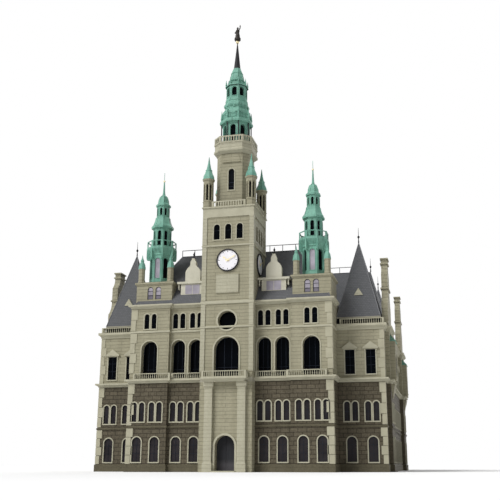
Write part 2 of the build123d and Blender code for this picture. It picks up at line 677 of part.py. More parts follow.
def door_leaf():
    """Right leaf: an arched plate on a round hanging stile with a pin at each end."""
    low, high = GROUND_FLOOR_TOP + 0.03, DOOR_SPRING - 0.10
    reach = DOOR_HALF + DOOR_OVERLAP
    meet = MOVING
    top = DOOR_SPRING + math.sqrt(reach ** 2 - meet ** 2)
    turn = math.pi / 4
    outline = Wire([
        Edge.make_line((meet, 0, low), (DOOR_HINGE_X, 0, low)),
        Edge.make_line((DOOR_HINGE_X, 0, low), (DOOR_HINGE_X, 0, high)),
        Edge.make_line((DOOR_HINGE_X, 0, high), (reach, 0, high)),
        Edge.make_line((reach, 0, high), (reach, 0, DOOR_SPRING)),
        Edge.make_three_point_arc((reach, 0, DOOR_SPRING),
                                  (reach * math.cos(turn), 0, DOOR_SPRING + reach * math.sin(turn)),
                                  (meet, 0, top)),
        Edge.make_line((meet, 0, top), (meet, 0, low)),
    ])
    plate = Solid.extrude(Face(outline), Vector(0, DOOR_THICKNESS, 0))
    plate = plate.moved(Location((0, HINGE_Y - DOOR_THICKNESS / 2, 0)))
    stile = Solid.make_cylinder(DOOR_THICKNESS / 2, high - low).moved(Location((DOOR_HINGE_X, HINGE_Y, low)))
    pin_low = GROUND_FLOOR_TOP + SEAT
    pin_high = high + DOOR_RING_HEIGHT + SEAT
    pin = Solid.make_cylinder(DOOR_PIN_RADIUS, pin_high - pin_low).moved(Location((DOOR_HINGE_X, HINGE_Y, pin_low)))
    return solids_of(plate + stile + pin)


def door_hinges():
    """Floor rings and wall brackets that the leaves' pins turn in."""
    floor_low, floor_high = GROUND_FLOOR_TOP, GROUND_FLOOR_TOP + 0.03 - SEAT
    top_low = DOOR_SPRING - 0.10 + SEAT
    ring = Solid.make_cylinder(DOOR_RING_RADIUS, floor_high - floor_low)
    ring = ring.moved(Location((DOOR_HINGE_X, HINGE_Y, floor_low)))
    eye = Solid.make_cylinder(DOOR_RING_RADIUS, DOOR_RING_HEIGHT).moved(Location((DOOR_HINGE_X, HINGE_Y, top_low)))
    arm = block(DOOR_HINGE_X - 0.045, DOOR_HINGE_X + 0.045, DOOR_BACK, HINGE_Y, top_low,
                top_low + DOOR_RING_HEIGHT)
    bore = Solid.make_cylinder(DOOR_PIN_RADIUS + SEAT, DOOR_SPRING + 1).moved(Location((DOOR_HINGE_X, HINGE_Y, 0)))
    return both_sides([*cut(ring, bore), *cut((eye + arm), bore)])


# ---------------------------------------------------------------- tower

def tower_lower_walls():
    """Walls beside the vestibule, behind the portal."""
    wall = block(TOWER_HALF - TOWER_SIDE_WALL, TOWER_HALF, DOOR_BACK, TOWER_DEPTH, 0, BALCONY_LEVELS[0])
    return both_sides([wall])


def belfry_openings():
    return [(offset, BELFRY_WINDOW) for offset in (-BELFRY_OFFSET, 0, BELFRY_OFFSET)]


def tower_front_wall():
    openings = [(0, TOWER_BALCONY_WINDOW), *belfry_openings()]
    wires = holes(openings, BALCONY_LEVELS[1], TOWER_CORNICE[0])
    circle = Wire.make_circle(OCULUS_RADIUS, Plane((0, 0, OCULUS_Z), x_dir=(1, 0, 0), z_dir=(0, -1, 0)))
    return [slab_with_holes(-TOWER_HALF, TOWER_HALF, BALCONY_LEVELS[1], TOWER_CORNICE[0], TOWER_WALL,
                            [*wires, circle])]


def tower_back_wall():
    wall = slab_with_holes(-TOWER_HALF, TOWER_HALF, BALCONY_LEVELS[1], TOWER_CORNICE[0], TOWER_WALL,
                           holes(belfry_openings(), BALCONY_LEVELS[1], TOWER_CORNICE[0]))
    return [wall.moved(Location((0, TOWER_DEPTH - TOWER_WALL, 0)))]


def tower_side_walls():
    centre = TOWER_DEPTH / 2
    openings = [(centre + offset * 0.85, window) for offset, window in belfry_openings()]
    wall = slab_with_holes(TOWER_WALL, TOWER_DEPTH - TOWER_WALL, BALCONY_LEVELS[1], TOWER_CORNICE[0],
                           TOWER_SIDE_WALL, holes(openings, BALCONY_LEVELS[1], TOWER_CORNICE[0]))
    return both_sides([at_right(wall, TOWER_HALF)])


def tower_floors():
    """Floors inside the tower, and the balcony level's slab between the lower and upper walls."""
    half = TOWER_HALF - TOWER_SIDE_WALL
    slabs = [block(-half, half, TOWER_WALL, TOWER_DEPTH - TOWER_WALL, z - FLOOR_THICKNESS, z)
             for z in (STRING_2[0], EAVES_CORNICE[1], TOWER_BANDS[2][1])]
    seat = block(-TOWER_HALF, TOWER_HALF, PORTAL_FRONT, TOWER_DEPTH, *BALCONY_LEVELS)
    return [*slabs, seat]


def tower_path():
    h = TOWER_HALF
    return [(-h, 0), (h, 0), (h, TOWER_DEPTH), (-h, TOWER_DEPTH)]


def tower_bands():
    """Bands and the plain frieze that run round the tower, or only round its front where the block hides the rest."""
    end = MID_FRONT - MAIN_CORNICE_PROJECTION - JOINT
    front = [(-TOWER_HALF, end), (-TOWER_HALF, 0), (TOWER_HALF, 0), (TOWER_HALF, end)]
    low, middle, belfry, frieze = TOWER_BANDS
    lower = [run for z in (low, middle) for run in runs(front, band(*z, TOWER_BAND_PROJECTION))]
    p, (z0, z1) = STRIP_PROJECTION, frieze
    plain = [(0, z0), (p, z0), (p, z1), (0, z1)]
    return [*lower, *runs(tower_path(), band(*belfry, TOWER_BAND_PROJECTION), closed=True),
            *runs(tower_path(), plain, closed=True)]


def tower_corner_strips():
    """Raised strips up the corners of the tower, between its bands."""
    reach = STRIP_WIDTH
    strips = []
    levels = [(BALCONY_LEVELS[1] + BALUSTRADE_HEIGHT, TOWER_BANDS[0][0]), (TOWER_BANDS[0][1], TOWER_BANDS[1][0]),
              (TOWER_BANDS[1][1], TOWER_BANDS[2][0]), (TOWER_BANDS[2][1], TOWER_BANDS[3][0])]
    p = STRIP_PROJECTION
    for i, (z0, z1) in enumerate(levels):
        side_reach = reach if i > 1 else MID_FRONT - MAIN_CORNICE_PROJECTION - JOINT
        outline = [(TOWER_HALF - reach, 0), (TOWER_HALF - reach, -p), (TOWER_HALF + p, -p),
                   (TOWER_HALF + p, side_reach), (TOWER_HALF, side_reach), (TOWER_HALF, 0)]
        strips.append(prism(outline, z0 + JOINT, z1 - JOINT))
    z0, z1 = levels[3]
    back = [(TOWER_HALF - reach, TOWER_DEPTH), (TOWER_HALF - reach, TOWER_DEPTH + p),
            (TOWER_HALF + p, TOWER_DEPTH + p), (TOWER_HALF + p, TOWER_DEPTH - reach),
            (TOWER_HALF, TOWER_DEPTH - reach), (TOWER_HALF, TOWER_DEPTH)]
    strips.append(prism(back, z0 + JOINT, z1 - JOINT))
    return both_sides(strips)


def tower_top():
    """Cornice slab that carries the parapet, the corner turrets and the upper stage."""
    z0, z1 = TOWER_CORNICE
    p = TOWER_CORNICE_PROJECTION
    rings = []
    for grow, z in ((0.05, z0), (0.12, z0 + 0.1), (p, z0 + 0.15), (p, z1)):
        h = TOWER_HALF + grow
        rings.append([(-h, -grow, z), (h, -grow, z), (h, TOWER_DEPTH + grow, z), (-h, TOWER_DEPTH + grow, z)])
    return [stacked(rings)]


def turret_places():
    x = TOWER_HALF - TURRET_INSET
    return [(sx * x, y) for sx in (-1, 1) for y in (TURRET_INSET, TOWER_DEPTH - TURRET_INSET)]


def tower_turrets():
    """Small eight-sided corner turrets with slot openings under their caps."""
    turrets = []
    for cx, cy in turret_places():
        r, top = TURRET_RADIUS, TURRET_TOP
        rail = PARAPET_TOP
        profile = ((r, TOWER_CORNICE[1]), (r, rail - 0.04), (r + 0.08, rail + 0.04), (r, rail + 0.12),
                   (r, top - 0.35), (r + 0.12, top - 0.15), (r + 0.12, top))
        body = stacked([ngon(half, z, 8, cx, cy) for half, z in profile])
        slots = []
        for turn in range(4):
            slot = Solid.extrude(Face(window_wire(0, TURRET_SLOT)), Vector(0, 2 * r + 1, 0))
            slot = slot.moved(Location((0, -r - 0.5, 0))).rotate(Axis.Z, 45 * turn).moved(Location((cx, cy, 0)))
            slots.append(slot)
        turrets += cut(body, *slots)
    return turrets


def copper_caps():
    """Cones of the corner turrets and of the pinnacles, and the roofs of the oriels."""
    caps = []
    for cx, cy in turret_places():
        profile = ((TURRET_RADIUS + 0.16, TURRET_TOP), (TURRET_RADIUS + 0.10, TURRET_TOP + 0.12),
                   (0.42, TURRET_TOP + 1.2), (0.20, TURRET_TOP + 2.2), (0.03, TURRET_CAP_TOP))
        caps.append(stacked([ngon(half, z, 8, cx, cy) for half, z in profile]))
    right = []
    for cx, cy in pinnacle_places():
        profile = ((PINNACLE_RADIUS + 0.06, PINNACLE_BODY_TOP), (PINNACLE_RADIUS + 0.02, PINNACLE_BODY_TOP + 0.1),
                   (0.22, PINNACLE_BODY_TOP + 0.9), (0.02, PINNACLE_TOP))
        right.append(stacked([ngon(half, z, 8, cx, cy) for half, z in profile]))
    caps += both_sides(right)
    caps += four_corners([oriel_roof()])
    return caps


def parapet_panel(length, height, thickness, pitch, gap_half):
    """Pierced stone panel: a rail and a base with upright gaps between balusters."""
    count = max(1, int((length - pitch) / pitch))
    start = -(count - 1) * pitch / 2
    wires = [window_wire(start + pitch * i, (gap_half, 0.09, height - 0.13, True)) for i in range(count)]
    return slab_with_holes(-length / 2, length / 2, 0, height, thickness, wires)


def tower_parapet():
    """Pierced parapet between the corner turrets."""
    panels = []
    for turn, width in ((0, 2 * TOWER_HALF), (90, TOWER_DEPTH), (180, 2 * TOWER_HALF), (-90, TOWER_DEPTH)):
        length = width - 2 * (TURRET_INSET + TURRET_RADIUS + JOINT)
        panel = parapet_panel(length, PARAPET_TOP - TOWER_CORNICE[1], BALUSTRADE_THICKNESS, 0.36, 0.11)
        panels.append(on_tower_face(panel.moved(Location((0, -0.1, TOWER_CORNICE[1]))), turn))
    return panels


def chamfered(half, chamfer, z):
    c = TOWER_DEPTH / 2
    h, k = half, half - chamfer
    return [(h, c - k, z), (h, c + k, z), (k, c + h, z), (-k, c + h, z), (-h, c + k, z), (-h, c - k, z),
            (-k, c - h, z), (k, c - h, z)]


def tower_upper_stage():
    """Hollow chamfered shaft with an arched window in each main face."""
    z0, z1 = TOWER_CORNICE[1], STAGE_TOP
    outer = stacked([chamfered(STAGE_HALF, STAGE_CHAMFER, z) for z in (z0, z1)])
    inner_chamfer = STAGE_CHAMFER - STAGE_WALL * (2 - math.sqrt(2))
    inner = stacked([chamfered(STAGE_HALF - STAGE_WALL, inner_chamfer, z) for z in (z0, z1)])
    through = Solid.extrude(Face(window_wire(0, STAGE_WINDOW)), Vector(0, 6, 0))
    c = TOWER_DEPTH / 2
    along_y = through.moved(Location((0, c - 3, 0)))
    along_x = through.moved(Location((0, -3, 0))).rotate(Axis.Z, 90).moved(Location((0, c, 0)))
    return cut(outer, inner, along_y, along_x)


def spire_gallery():
    """Corbelled gallery with a pierced parapet."""
    z0, edge = STAGE_TOP, 0.10
    rings = [chamfered(half, chamfer, z) for half, chamfer, z in (
        (STAGE_HALF, STAGE_CHAMFER, z0), (GALLERY_HALF, GALLERY_CHAMFER, z0 + 0.3),
        (GALLERY_HALF, GALLERY_CHAMFER, z0 + 0.6), (GALLERY_HALF - edge, GALLERY_CHAMFER, z0 + 0.75),
        (GALLERY_HALF - edge, GALLERY_CHAMFER, GALLERY_TOP - 0.2), (GALLERY_HALF, GALLERY_CHAMFER, GALLERY_TOP - 0.1),
        (GALLERY_HALF, GALLERY_CHAMFER, GALLERY_TOP))]
    rim, wall = GALLERY_HALF - 0.05, GALLERY_RAIL_THICKNESS
    low, high = GALLERY_TOP, GALLERY_TOP + GALLERY_RAIL
    ring = stacked([chamfered(rim, GALLERY_CHAMFER - 0.02, z) for z in (low, high)])
    core = stacked([chamfered(rim - wall, GALLERY_CHAMFER - 0.02 - wall * 0.586, z) for z in (low, high)])
    middle = Location((0, TOWER_DEPTH / 2, 0))
    gaps = []
    for turn in range(4):
        pitch, count = (0.38, 8) if turn % 2 == 0 else (0.36, 3)
        for i in range(count):
            wire = window_wire((i - (count - 1) / 2) * pitch, (0.12, low + 0.10, high - 0.16, True))
            gap = Solid.extrude(Face(wire), Vector(0, 2 * GALLERY_HALF + 1, 0))
            gaps.append(gap.moved(Location((0, -GALLERY_HALF - 0.5, 0))).rotate(Axis.Z, 45 * turn).moved(middle))
    return solids_of(stacked(rings) + cut(ring, core, *gaps)[0])


def around_spire(radius, solid):
    """A piece made on the Z axis, repeated over the eight corners of the spire."""
    places = []
    for i in range(8):
        angle = math.radians(22.5 + 45 * i)
        place = (radius * math.cos(angle), TOWER_DEPTH / 2 + radius * math.sin(angle), 0)
        places.append(solid.moved(Location(place)))
    return places


def spire_columns():
    """Slim columns between the gallery and the cornice of the lantern."""
    height = SPIRE_LANTERN_TOP - GALLERY_TOP
    column = Solid.make_cylinder(SPIRE_COLUMN_RADIUS, height).moved(Location((0, 0, GALLERY_TOP)))
    return around_spire(SPIRE_COLUMN_AXIS, column)


def lantern_shell(half, wall, z0, z1, opening, cx, cy):
    """Eight-sided open lantern with an arched opening (half width, sill, head) in each side."""
    outer = stacked([ngon(half, z, 8, 0, 0) for z in (z0, z1)])
    inner = stacked([ngon(half - wall, z, 8, 0, 0) for z in (z0, z1)])
    through = Solid.extrude(Face(window_wire(0, (*opening, True))), Vector(0, 2 * half + 1, 0))
    through = through.moved(Location((0, -half - 0.5, 0)))
    cutters = [through.rotate(Axis.Z, 45 * i) for i in range(4)]
    return [s.moved(Location((cx, cy, 0))) for s in cut(outer, inner, *cutters)]


def spire_lantern():
    """Open copper lantern on the gallery."""
    return lantern_shell(SPIRE_LANTERN_HALF, 0.3, GALLERY_TOP, SPIRE_LANTERN_TOP, SPIRE_LANTERN_OPENING, 0,
                         TOWER_DEPTH / 2)


def spire_upper_lantern():
    return lantern_shell(SPIRE_LANTERN_2_HALF, 0.25, SPIRE_BELL[-1][1], SPIRE_LANTERN_2_TOP,
                         SPIRE_LANTERN_2_OPENING, 0, TOWER_DEPTH / 2)


def spire_tier(profile, level, radius, pinnacle):
    """Moulded copper tier with a small pinnacle on each corner of its cornice."""
    whole = stacked([ngon(half, z, 8, 0, TOWER_DEPTH / 2) for half, z in profile])
    spirelet = turned([(r, level + z) for r, z in pinnacle], 0, 0)[0]
    for piece in around_spire(radius, spirelet):
        whole = whole + piece
    return solids_of(whole)


def spire_bell():
    return spire_tier(SPIRE_BELL, SPIRE_BELL[1][1] - 0.05, SPIRE_COLUMN_AXIS, SPIRE_PINNACLE)


def spire_cap():
    return spire_tier(SPIRE_CAP, SPIRE_CAP[1][1] - 0.05, SPIRE_PINNACLE_2_AXIS, SPIRE_PINNACLE_2)


def spire_spike():
    """Slim cone over the copper, with a neck that carries the ball."""
    base = SPIRE_CAP[-1][1]
    profile = [(SPIKE_RADIUS, base), (SPIKE_RADIUS * 0.9, base + 0.2), (0.07, SPIKE_TOP), (0.07, BALL_Z - BALL_FLAT)]
    return turned(profile, 0, TOWER_DEPTH / 2)


def spire_ball():
    """Gilt ball with level seats for the spike and the statue."""
    ball = Solid.make_sphere(BALL_RADIUS).moved(Location((0, TOWER_DEPTH / 2, BALL_Z)))
    r, c = BALL_RADIUS + 1, TOWER_DEPTH / 2
    top = block(-r, r, c - r, c + r, BALL_Z + BALL_FLAT, BALL_Z + r)
    bottom = block(-r, r, c - r, c + r, BALL_Z - r, BALL_Z - BALL_FLAT)
    return cut(ball, top, bottom)


def limb(start, end, radius):
    """Round rod between two points of the XZ plane."""
    (x0, z0), (x1, z1) = start, end
    length = math.hypot(x1 - x0, z1 - z0)
    tilt = math.degrees(math.atan2(x1 - x0, z1 - z0))
    return Solid.make_cylinder(radius, length).rotate(Axis.Y, tilt).moved(Location((x0, 0, z0)))


def spire_statue():
    """Plain standing figure on a drum, one arm raised with a torch and the other on the hip."""
    z0 = BALL_Z + BALL_FLAT
    figure = turned([(r, z0 + z) for r, z in STATUE_FIGURE], 0, 0)[0]
    raised = limb((0.16, z0 + 1.72), (0.38, z0 + 2.25), 0.075)
    torch = turned([(0.04, z0 + 2.10), (0.10, z0 + 2.50), (0.03, TORCH_TOP)], 0.37, 0)[0]
    upper_arm = limb((-0.16, z0 + 1.76), (-0.40, z0 + 1.45), 0.075)
    lower_arm = limb((-0.40, z0 + 1.45), (-0.18, z0 + 1.22), 0.065)
    elbow = Solid.make_sphere(0.08).moved(Location((-0.40, 0, z0 + 1.45)))
    whole = figure + raised + torch + upper_arm + lower_arm + elbow
    return solids_of(whole.moved(Location((0, TOWER_DEPTH / 2, 0))))


# ---------------------------------------------------------------- clocks

def on_tower_face(solid, turn):
    """Moves a piece made for the front of the tower to another face of it."""
    middle = {0: (0, 0), 90: (TOWER_HALF, TOWER_DEPTH / 2), -90: (-TOWER_HALF, TOWER_DEPTH / 2), 180: (0, TOWER_DEPTH)}
    return solid.rotate(Axis.Z, turn).moved(Location((*middle[turn], 0)))


def disc(radius, y0, y1):
    """Round plate on the clock's axis, from y0 out to y1."""
    return Solid.make_cylinder(radius, y0 - y1).rotate(Axis.X, 90).moved(Location((0, y0, CLOCK_Z)))


HOUR_BACK = -DIAL_THICKNESS - HAND_GAP
MINUTE_BACK = HOUR_BACK - HAND_THICKNESS - HAND_GAP


def clock_dial():
    plate = disc(DIAL_RADIUS, 0, -DIAL_THICKNESS)
    rim = disc(DIAL_RADIUS, 0, -BEZEL_THICKNESS) - disc(DIAL_RADIUS - BEZEL_WIDTH, 0, -1)
    return cut(plate + rim, disc(SLEEVE_RADIUS + SEAT, 0.1, -1))


def hand_plate(reach, width, tail, y_back, minutes):
    """Tapered hand with a spade head, turned clockwise by the minutes on the dial."""
    points = [(-width * 0.35, -tail), (width * 0.35, -tail), (width * 0.5, 0), (width * 0.3, reach * 0.62),
              (width * 0.85, reach * 0.74), (0, reach), (-width * 0.85, reach * 0.74), (-width * 0.3, reach * 0.62),
              (-width * 0.5, 0)]
    face = flat([(x, y_back, CLOCK_Z + z) for x, z in points])
    plate = Solid.extrude(face, Vector(0, -HAND_THICKNESS, 0))
    axis = Axis((0, 0, CLOCK_Z), (0, 1, 0))
    return plate.rotate(axis, minutes * 6)


def minute_hand():
    plate = hand_plate(MINUTE_HAND, 0.12, 0.30, MINUTE_BACK, 10)
    hub = disc(0.11, MINUTE_BACK, MINUTE_BACK - HAND_THICKNESS - 0.01)
    arbor = disc(ARBOR_RADIUS, -0.01, MINUTE_BACK)
    return solids_of(plate + hub + arbor)


def hour_hand():
    plate = hand_plate(HOUR_HAND, 0.17, 0.24, HOUR_BACK, 50 + 10 / 12)
    hub = disc(0.16, HOUR_BACK, HOUR_BACK - HAND_THICKNESS)
    sleeve = disc(SLEEVE_RADIUS, -0.01, HOUR_BACK)
    return cut(plate + hub + sleeve, disc(ARBOR_RADIUS + SEAT, 0.1, -1))


# ---------------------------------------------------------------- balconies

def tower_balcony():
    """Balcony slab on the portal's pilasters."""
    z0, z1 = BALCONY_LEVELS
    rings = []
    for shrink, z in ((0.35, z0), (0.30, z0 + 0.15), (0.05, z0 + 0.32), (0.0, z0 + 0.36), (0.0, z1)):
        h = BALCONY_HALF - shrink
        rings.append([(-h, PORTAL_FRONT, z), (-h, BALCONY_FRONT + shrink, z), (h, BALCONY_FRONT + shrink, z),
                      (h, PORTAL_FRONT, z)])
    return [stacked(rings)]


def balustrade(x0, x1, front_y, z0):
    panel = parapet_panel(x1 - x0, BALUSTRADE_HEIGHT, BALUSTRADE_THICKNESS, 0.33, 0.10)
    return panel.moved(Location(((x0 + x1) / 2, front_y, z0)))


def cross_balustrade(x, y0, y1, z0):
    """Balustrade along Y with its outer face at x, to the right."""
    panel = parapet_panel(y1 - y0, BALUSTRADE_HEIGHT, BALUSTRADE_THICKNESS, 0.33, 0.10)
    return panel.rotate(Axis.Z, 90).moved(Location((x, (y0 + y1) / 2, z0)))


def balustrades():
    t = BALUSTRADE_THICKNESS
    z0 = MAIN_CORNICE[1]
    edge = 0.06
    out = MAIN_CORNICE_PROJECTION - edge
    end = RISALIT_OUT - 0.7
    mid = balustrade(TOWER_HALF + 0.1, RISALIT_IN - out - JOINT, MID_FRONT - out, z0)
    risalit = balustrade(RISALIT_IN - out, end, RISALIT_FRONT - out, z0)
    finish = cross_balustrade(end, RISALIT_FRONT - out + t + JOINT, RISALIT_FRONT, z0)
    right = [mid, risalit, finish]
    rear = mirrored_y(right[:1]) + mirrored_y(right[1:])
    wing_z = WING_CORNICE[1]
    wing_out = 0.10
    wing = balustrade(RISALIT_OUT + EAVES_SETBACK, WING_HALF + wing_out, WING_FRONT - wing_out, wing_z)
    side = cross_balustrade(WING_HALF + wing_out, WING_FRONT - wing_out + t + JOINT, BAY0 - JOINT, wing_z)
    long_side = cross_balustrade(WING_HALF + wing_out, BAY1 + JOINT, MIDDLE - JOINT, wing_z)
    wing_pieces = four_corners([wing, side, long_side])
    zt = BALCONY_LEVELS[1]
    tower = [balustrade(-BALCONY_HALF + 0.08, BALCONY_HALF - 0.08, BALCONY_FRONT + 0.08, zt)]
    tower += both_sides([cross_balustrade(BALCONY_HALF - 0.08, BALCONY_FRONT + 0.08 + t + JOINT,
                                          -STRIP_PROJECTION - JOINT, zt)])
    return [*both_sides([*right, *rear]), *wing_pieces, *tower]


# ---------------------------------------------------------------- roofs

def slope_slab(outer, inner, dx=0.0, dy=0.0):
    """Roof slope between its outer and inner outline, set off its neighbours by a joint."""
    return solid_between(outer, inner).moved(Location((dx, dy, 0)))


def hipped_slabs(x_half, y0, y1, ridge_half, z0, z1, cx=0.0):
    """Four slopes of a hipped roof: front, rear, right hip, left hip."""
    ridge_y = (y0 + y1) / 2
    t = ROOF_THICKNESS
    in_y = t * (ridge_y - y0) / (z1 - z0)
    in_x = t * (x_half - ridge_half) / (z1 - z0)

    def corners(dx, dy, ridge_z):
        eaves = [(cx - x_half + dx, y0 + dy, z0), (cx + x_half - dx, y0 + dy, z0),
                 (cx + x_half - dx, y1 - dy, z0), (cx - x_half + dx, y1 - dy, z0)]
        if ridge_half == 0:
            return eaves, [(cx, ridge_y, ridge_z)]
        return eaves, [(cx - ridge_half, ridge_y, ridge_z), (cx + ridge_half, ridge_y, ridge_z)]

    slabs = []
    outer, inner = corners(0, 0, z1), corners(in_x, in_y, z1 - t)
    for pick, shift in (((0, 1, 'right', 'left'), (0, -JOINT)), ((2, 3, 'left', 'right'), (0, JOINT)),
                        ((1, 2, 'right'), (JOINT, 0)), ((3, 0, 'left'), (-JOINT, 0))):
        loops = []
        for eaves, ridge in (outer, inner):
            ends = {'left': ridge[0], 'right': ridge[-1]}
            loop = [eaves[pick[0]], eaves[pick[1]]]
            for name in pick[2:]:
                if ends[name] not in loop:
                    loop.append(ends[name])
            loops.append(loop)
        slabs.append(slope_slab(*loops, *shift))
    return slabs


def hipped_solid(x_half, y0, y1, ridge_half, z0, z1):
    """The whole space that a hipped roof takes up."""
    ridge_y = (y0 + y1) / 2
    a, b = (-x_half, y0, z0), (x_half, y0, z0)
    c, d = (x_half, y1, z0), (-x_half, y1, z0)
    r0, r1 = (-ridge_half, ridge_y, z1), (ridge_half, ridge_y, z1)
    return Solid(Shell([flat(loop) for loop in ([a, b, c, d], [a, b, r1, r0], [c, d, r0, r1], [b, c, r1], [d, a, r0])]))


FRONT_ROOF_REAR = VALLEY - 4 * JOINT
FRONT_RIDGE_Y = (FRONT_EAVES + FRONT_ROOF_REAR) / 2
FRONT_ROOF = (CENTRE_ROOF_HALF, FRONT_EAVES, FRONT_ROOF_REAR, FRONT_RIDGE_HALF, EAVES_CORNICE[1], RIDGE)


def front_slope_parts():
    """Front slope round the tower: left and right of it, and the strip behind it."""
    half, y0, y1, ridge_half, z0, z1 = FRONT_ROOF
    ridge_y = (y0 + y1) / 2
    pitch = (z1 - z0) / (ridge_y - y0)
    t = ROOF_THICKNESS
    in_x = t * (half - ridge_half) / (z1 - z0)
    side = TOWER_HALF + JOINT
    outer = [(side, y0, z0), (half, y0, z0), (ridge_half, ridge_y, z1), (side, ridge_y, z1)]
    inner = [(side, y0 + t / pitch, z0), (half - in_x, y0 + t / pitch, z0), (ridge_half, ridge_y, z1 - t),
             (side, ridge_y, z1 - t)]
    right = slope_slab(outer, inner, 0, -JOINT)
    back = TOWER_DEPTH + 2 * JOINT
    z_back = z0 + (back - y0) * pitch
    strip_outer = [(-TOWER_HALF, back, z_back), (TOWER_HALF, back, z_back), (TOWER_HALF, ridge_y, z1),
                   (-TOWER_HALF, ridge_y, z1)]
    strip_inner = [(x, y, z - t) for x, y, z in strip_outer]
    strip = slope_slab(strip_outer, strip_inner, 0, -JOINT)
    return [*both_sides([right]), strip]


def middle_roof():
    """Long roof over the middle of the block; over the wings its slopes run further down."""
    z0, z1 = EAVES_CORNICE[1], RIDGE
    pitch = (z1 - z0) / (MIDDLE - VALLEY)
    t = ROOF_THICKNESS
    side = RISALIT_OUT + JOINT
    deck = WING_EAVES + DECK_THICKNESS
    hip_base = WING_HALF - EAVES_SETBACK
    low_y = MIDDLE - (z1 - deck) / pitch
    in_y, in_x = t / pitch, t * (hip_base - MIDDLE_RIDGE_HALF) / (z1 - deck)
    centre_half = RISALIT_OUT - JOINT
    centre = slope_slab(
        [(-centre_half, VALLEY, z0), (centre_half, VALLEY, z0), (centre_half, MIDDLE, z1), (-centre_half, MIDDLE, z1)],
        [(-centre_half, VALLEY + in_y, z0), (centre_half, VALLEY + in_y, z0), (centre_half, MIDDLE, z1 - t),
         (-centre_half, MIDDLE, z1 - t)], 0, -JOINT)
    wing = slope_slab(
        [(side, low_y, deck), (hip_base, low_y, deck), (MIDDLE_RIDGE_HALF, MIDDLE, z1), (side, MIDDLE, z1)],
        [(side, low_y + in_y, deck), (hip_base - in_x, low_y + in_y, deck), (MIDDLE_RIDGE_HALF, MIDDLE, z1 - t),
         (side, MIDDLE, z1 - t)], 0, -JOINT)
    hip = slope_slab(
        [(hip_base, low_y, deck), (hip_base, REAR - low_y, deck), (MIDDLE_RIDGE_HALF, MIDDLE, z1)],
        [(hip_base - in_x, low_y + in_y, deck), (hip_base - in_x, REAR - low_y - in_y, deck),
         (MIDDLE_RIDGE_HALF, MIDDLE, z1 - t)], JOINT, 0)
    return [centre, *mirrored_y([centre]), *four_corners([wing]), *both_sides([hip])]


def main_roofs():
    front = hipped_slabs(*FRONT_ROOF)[1:]
    rear = mirrored_y(hipped_slabs(*FRONT_ROOF))
    return [*front_slope_parts(), *front, *rear, *middle_roof()]


def pavilion_roofs():
    """Steep pyramids over the corners of the wings."""
    x, y, z = PAVILION_APEX
    deck = WING_EAVES + DECK_THICKNESS
    slabs = hipped_slabs(PAVILION_HALF, y - PAVILION_HALF_DEPTH, y + PAVILION_HALF_DEPTH, 0, deck, z, cx=x)
    return four_corners(slabs)


def wing_eaves_walls():
    """Low walls behind the wings' balustrades, under the decks."""
    z0, z1 = WING_CORNICE[1], WING_EAVES
    setback, thick = EAVES_SETBACK, 0.5
    x1 = WING_HALF - setback
    y0 = WING_FRONT + setback
    front = block(RISALIT_OUT + JOINT, x1, y0, y0 + thick, z0, z1)
    side = block(x1 - thick, x1, y0 + thick + JOINT, REAR - y0 - thick - JOINT, z0, z1)
    return [*four_corners([front]), *both_sides([side])]


def wing_decks():
    """Flat decks that close the wings and carry their roofs."""
    x1 = BAY_FACE - GABLE_THICKNESS - SEAT
    y0 = WING_FRONT + WING_HALF - x1
    deck = block(RISALIT_OUT, x1, y0, REAR - y0, WING_EAVES, WING_EAVES + DECK_THICKNESS)
    return both_sides([deck])


# ---------------------------------------------------------------- attic blocks, dormers, lanterns

def roof_space():
    """Space of the front roof, which pieces that stand through it are cut to."""
    half, y0, y1, ridge_half, z0, z1 = FRONT_ROOF
    clear = 2 * JOINT
    pitch = (z1 - z0) / ((y1 - y0) / 2)
    return hipped_solid(half + clear, y0 - clear, y1 + clear, ridge_half + clear, z0, z1 + clear * pitch)


def pinnacle_places():
    return [(RISALIT_AXIS + side * PINNACLE_OFFSET, ATTIC_FRONT + 0.42) for side in (-1, 1)]


def attic_blocks():
    """Stone blocks over the risalits, hollow, with two windows, a cornice and corner pinnacles."""
    x0, x1 = RISALIT_AXIS - ATTIC_HALF, RISALIT_AXIS + ATTIC_HALF
    y0, y1 = ATTIC_FRONT, ATTIC_FRONT + ATTIC_DEPTH
    z0, z1 = ATTIC_LEVELS
    w, p = ATTIC_WALL, ATTIC_CORNICE_PROJECTION
    body = block(x0, x1, y0, y1, z0, z1) - block(x0 + w, x1 - w, y0 + w, y1 - w, z0, z1)
    windows = [Solid.extrude(Face(window_wire(RISALIT_AXIS + side * ATTIC_WINDOW_OFFSET, ATTIC_WINDOW)),
                             Vector(0, w + 2, 0)).moved(Location((0, y0 - 1, 0))) for side in (-1, 1)]
    rings = []
    for grow, z in ((0.0, z1), (0.06, z1 + 0.1), (p, z1 + 0.28), (p, ATTIC_CORNICE_TOP)):
        rings.append([(x0 - grow, y0 - grow, z), (x1 + grow, y0 - grow, z), (x1 + grow, y1 + grow, z),
                      (x0 - grow, y1 + grow, z)])
    whole = body - windows[0] - windows[1] + stacked(rings)
    for cx, cy in pinnacle_places():
        r = PINNACLE_RADIUS
        profile = ((r + 0.06, ATTIC_CORNICE_TOP), (r + 0.06, ATTIC_CORNICE_TOP + 0.2), (r, ATTIC_CORNICE_TOP + 0.3),
                   (r, PINNACLE_BODY_TOP - 0.12), (r + 0.05, PINNACLE_BODY_TOP))
        whole = whole + stacked([ngon(half, z, 8, cx, cy) for half, z in profile])
    return both_sides(cut(whole, roof_space()))


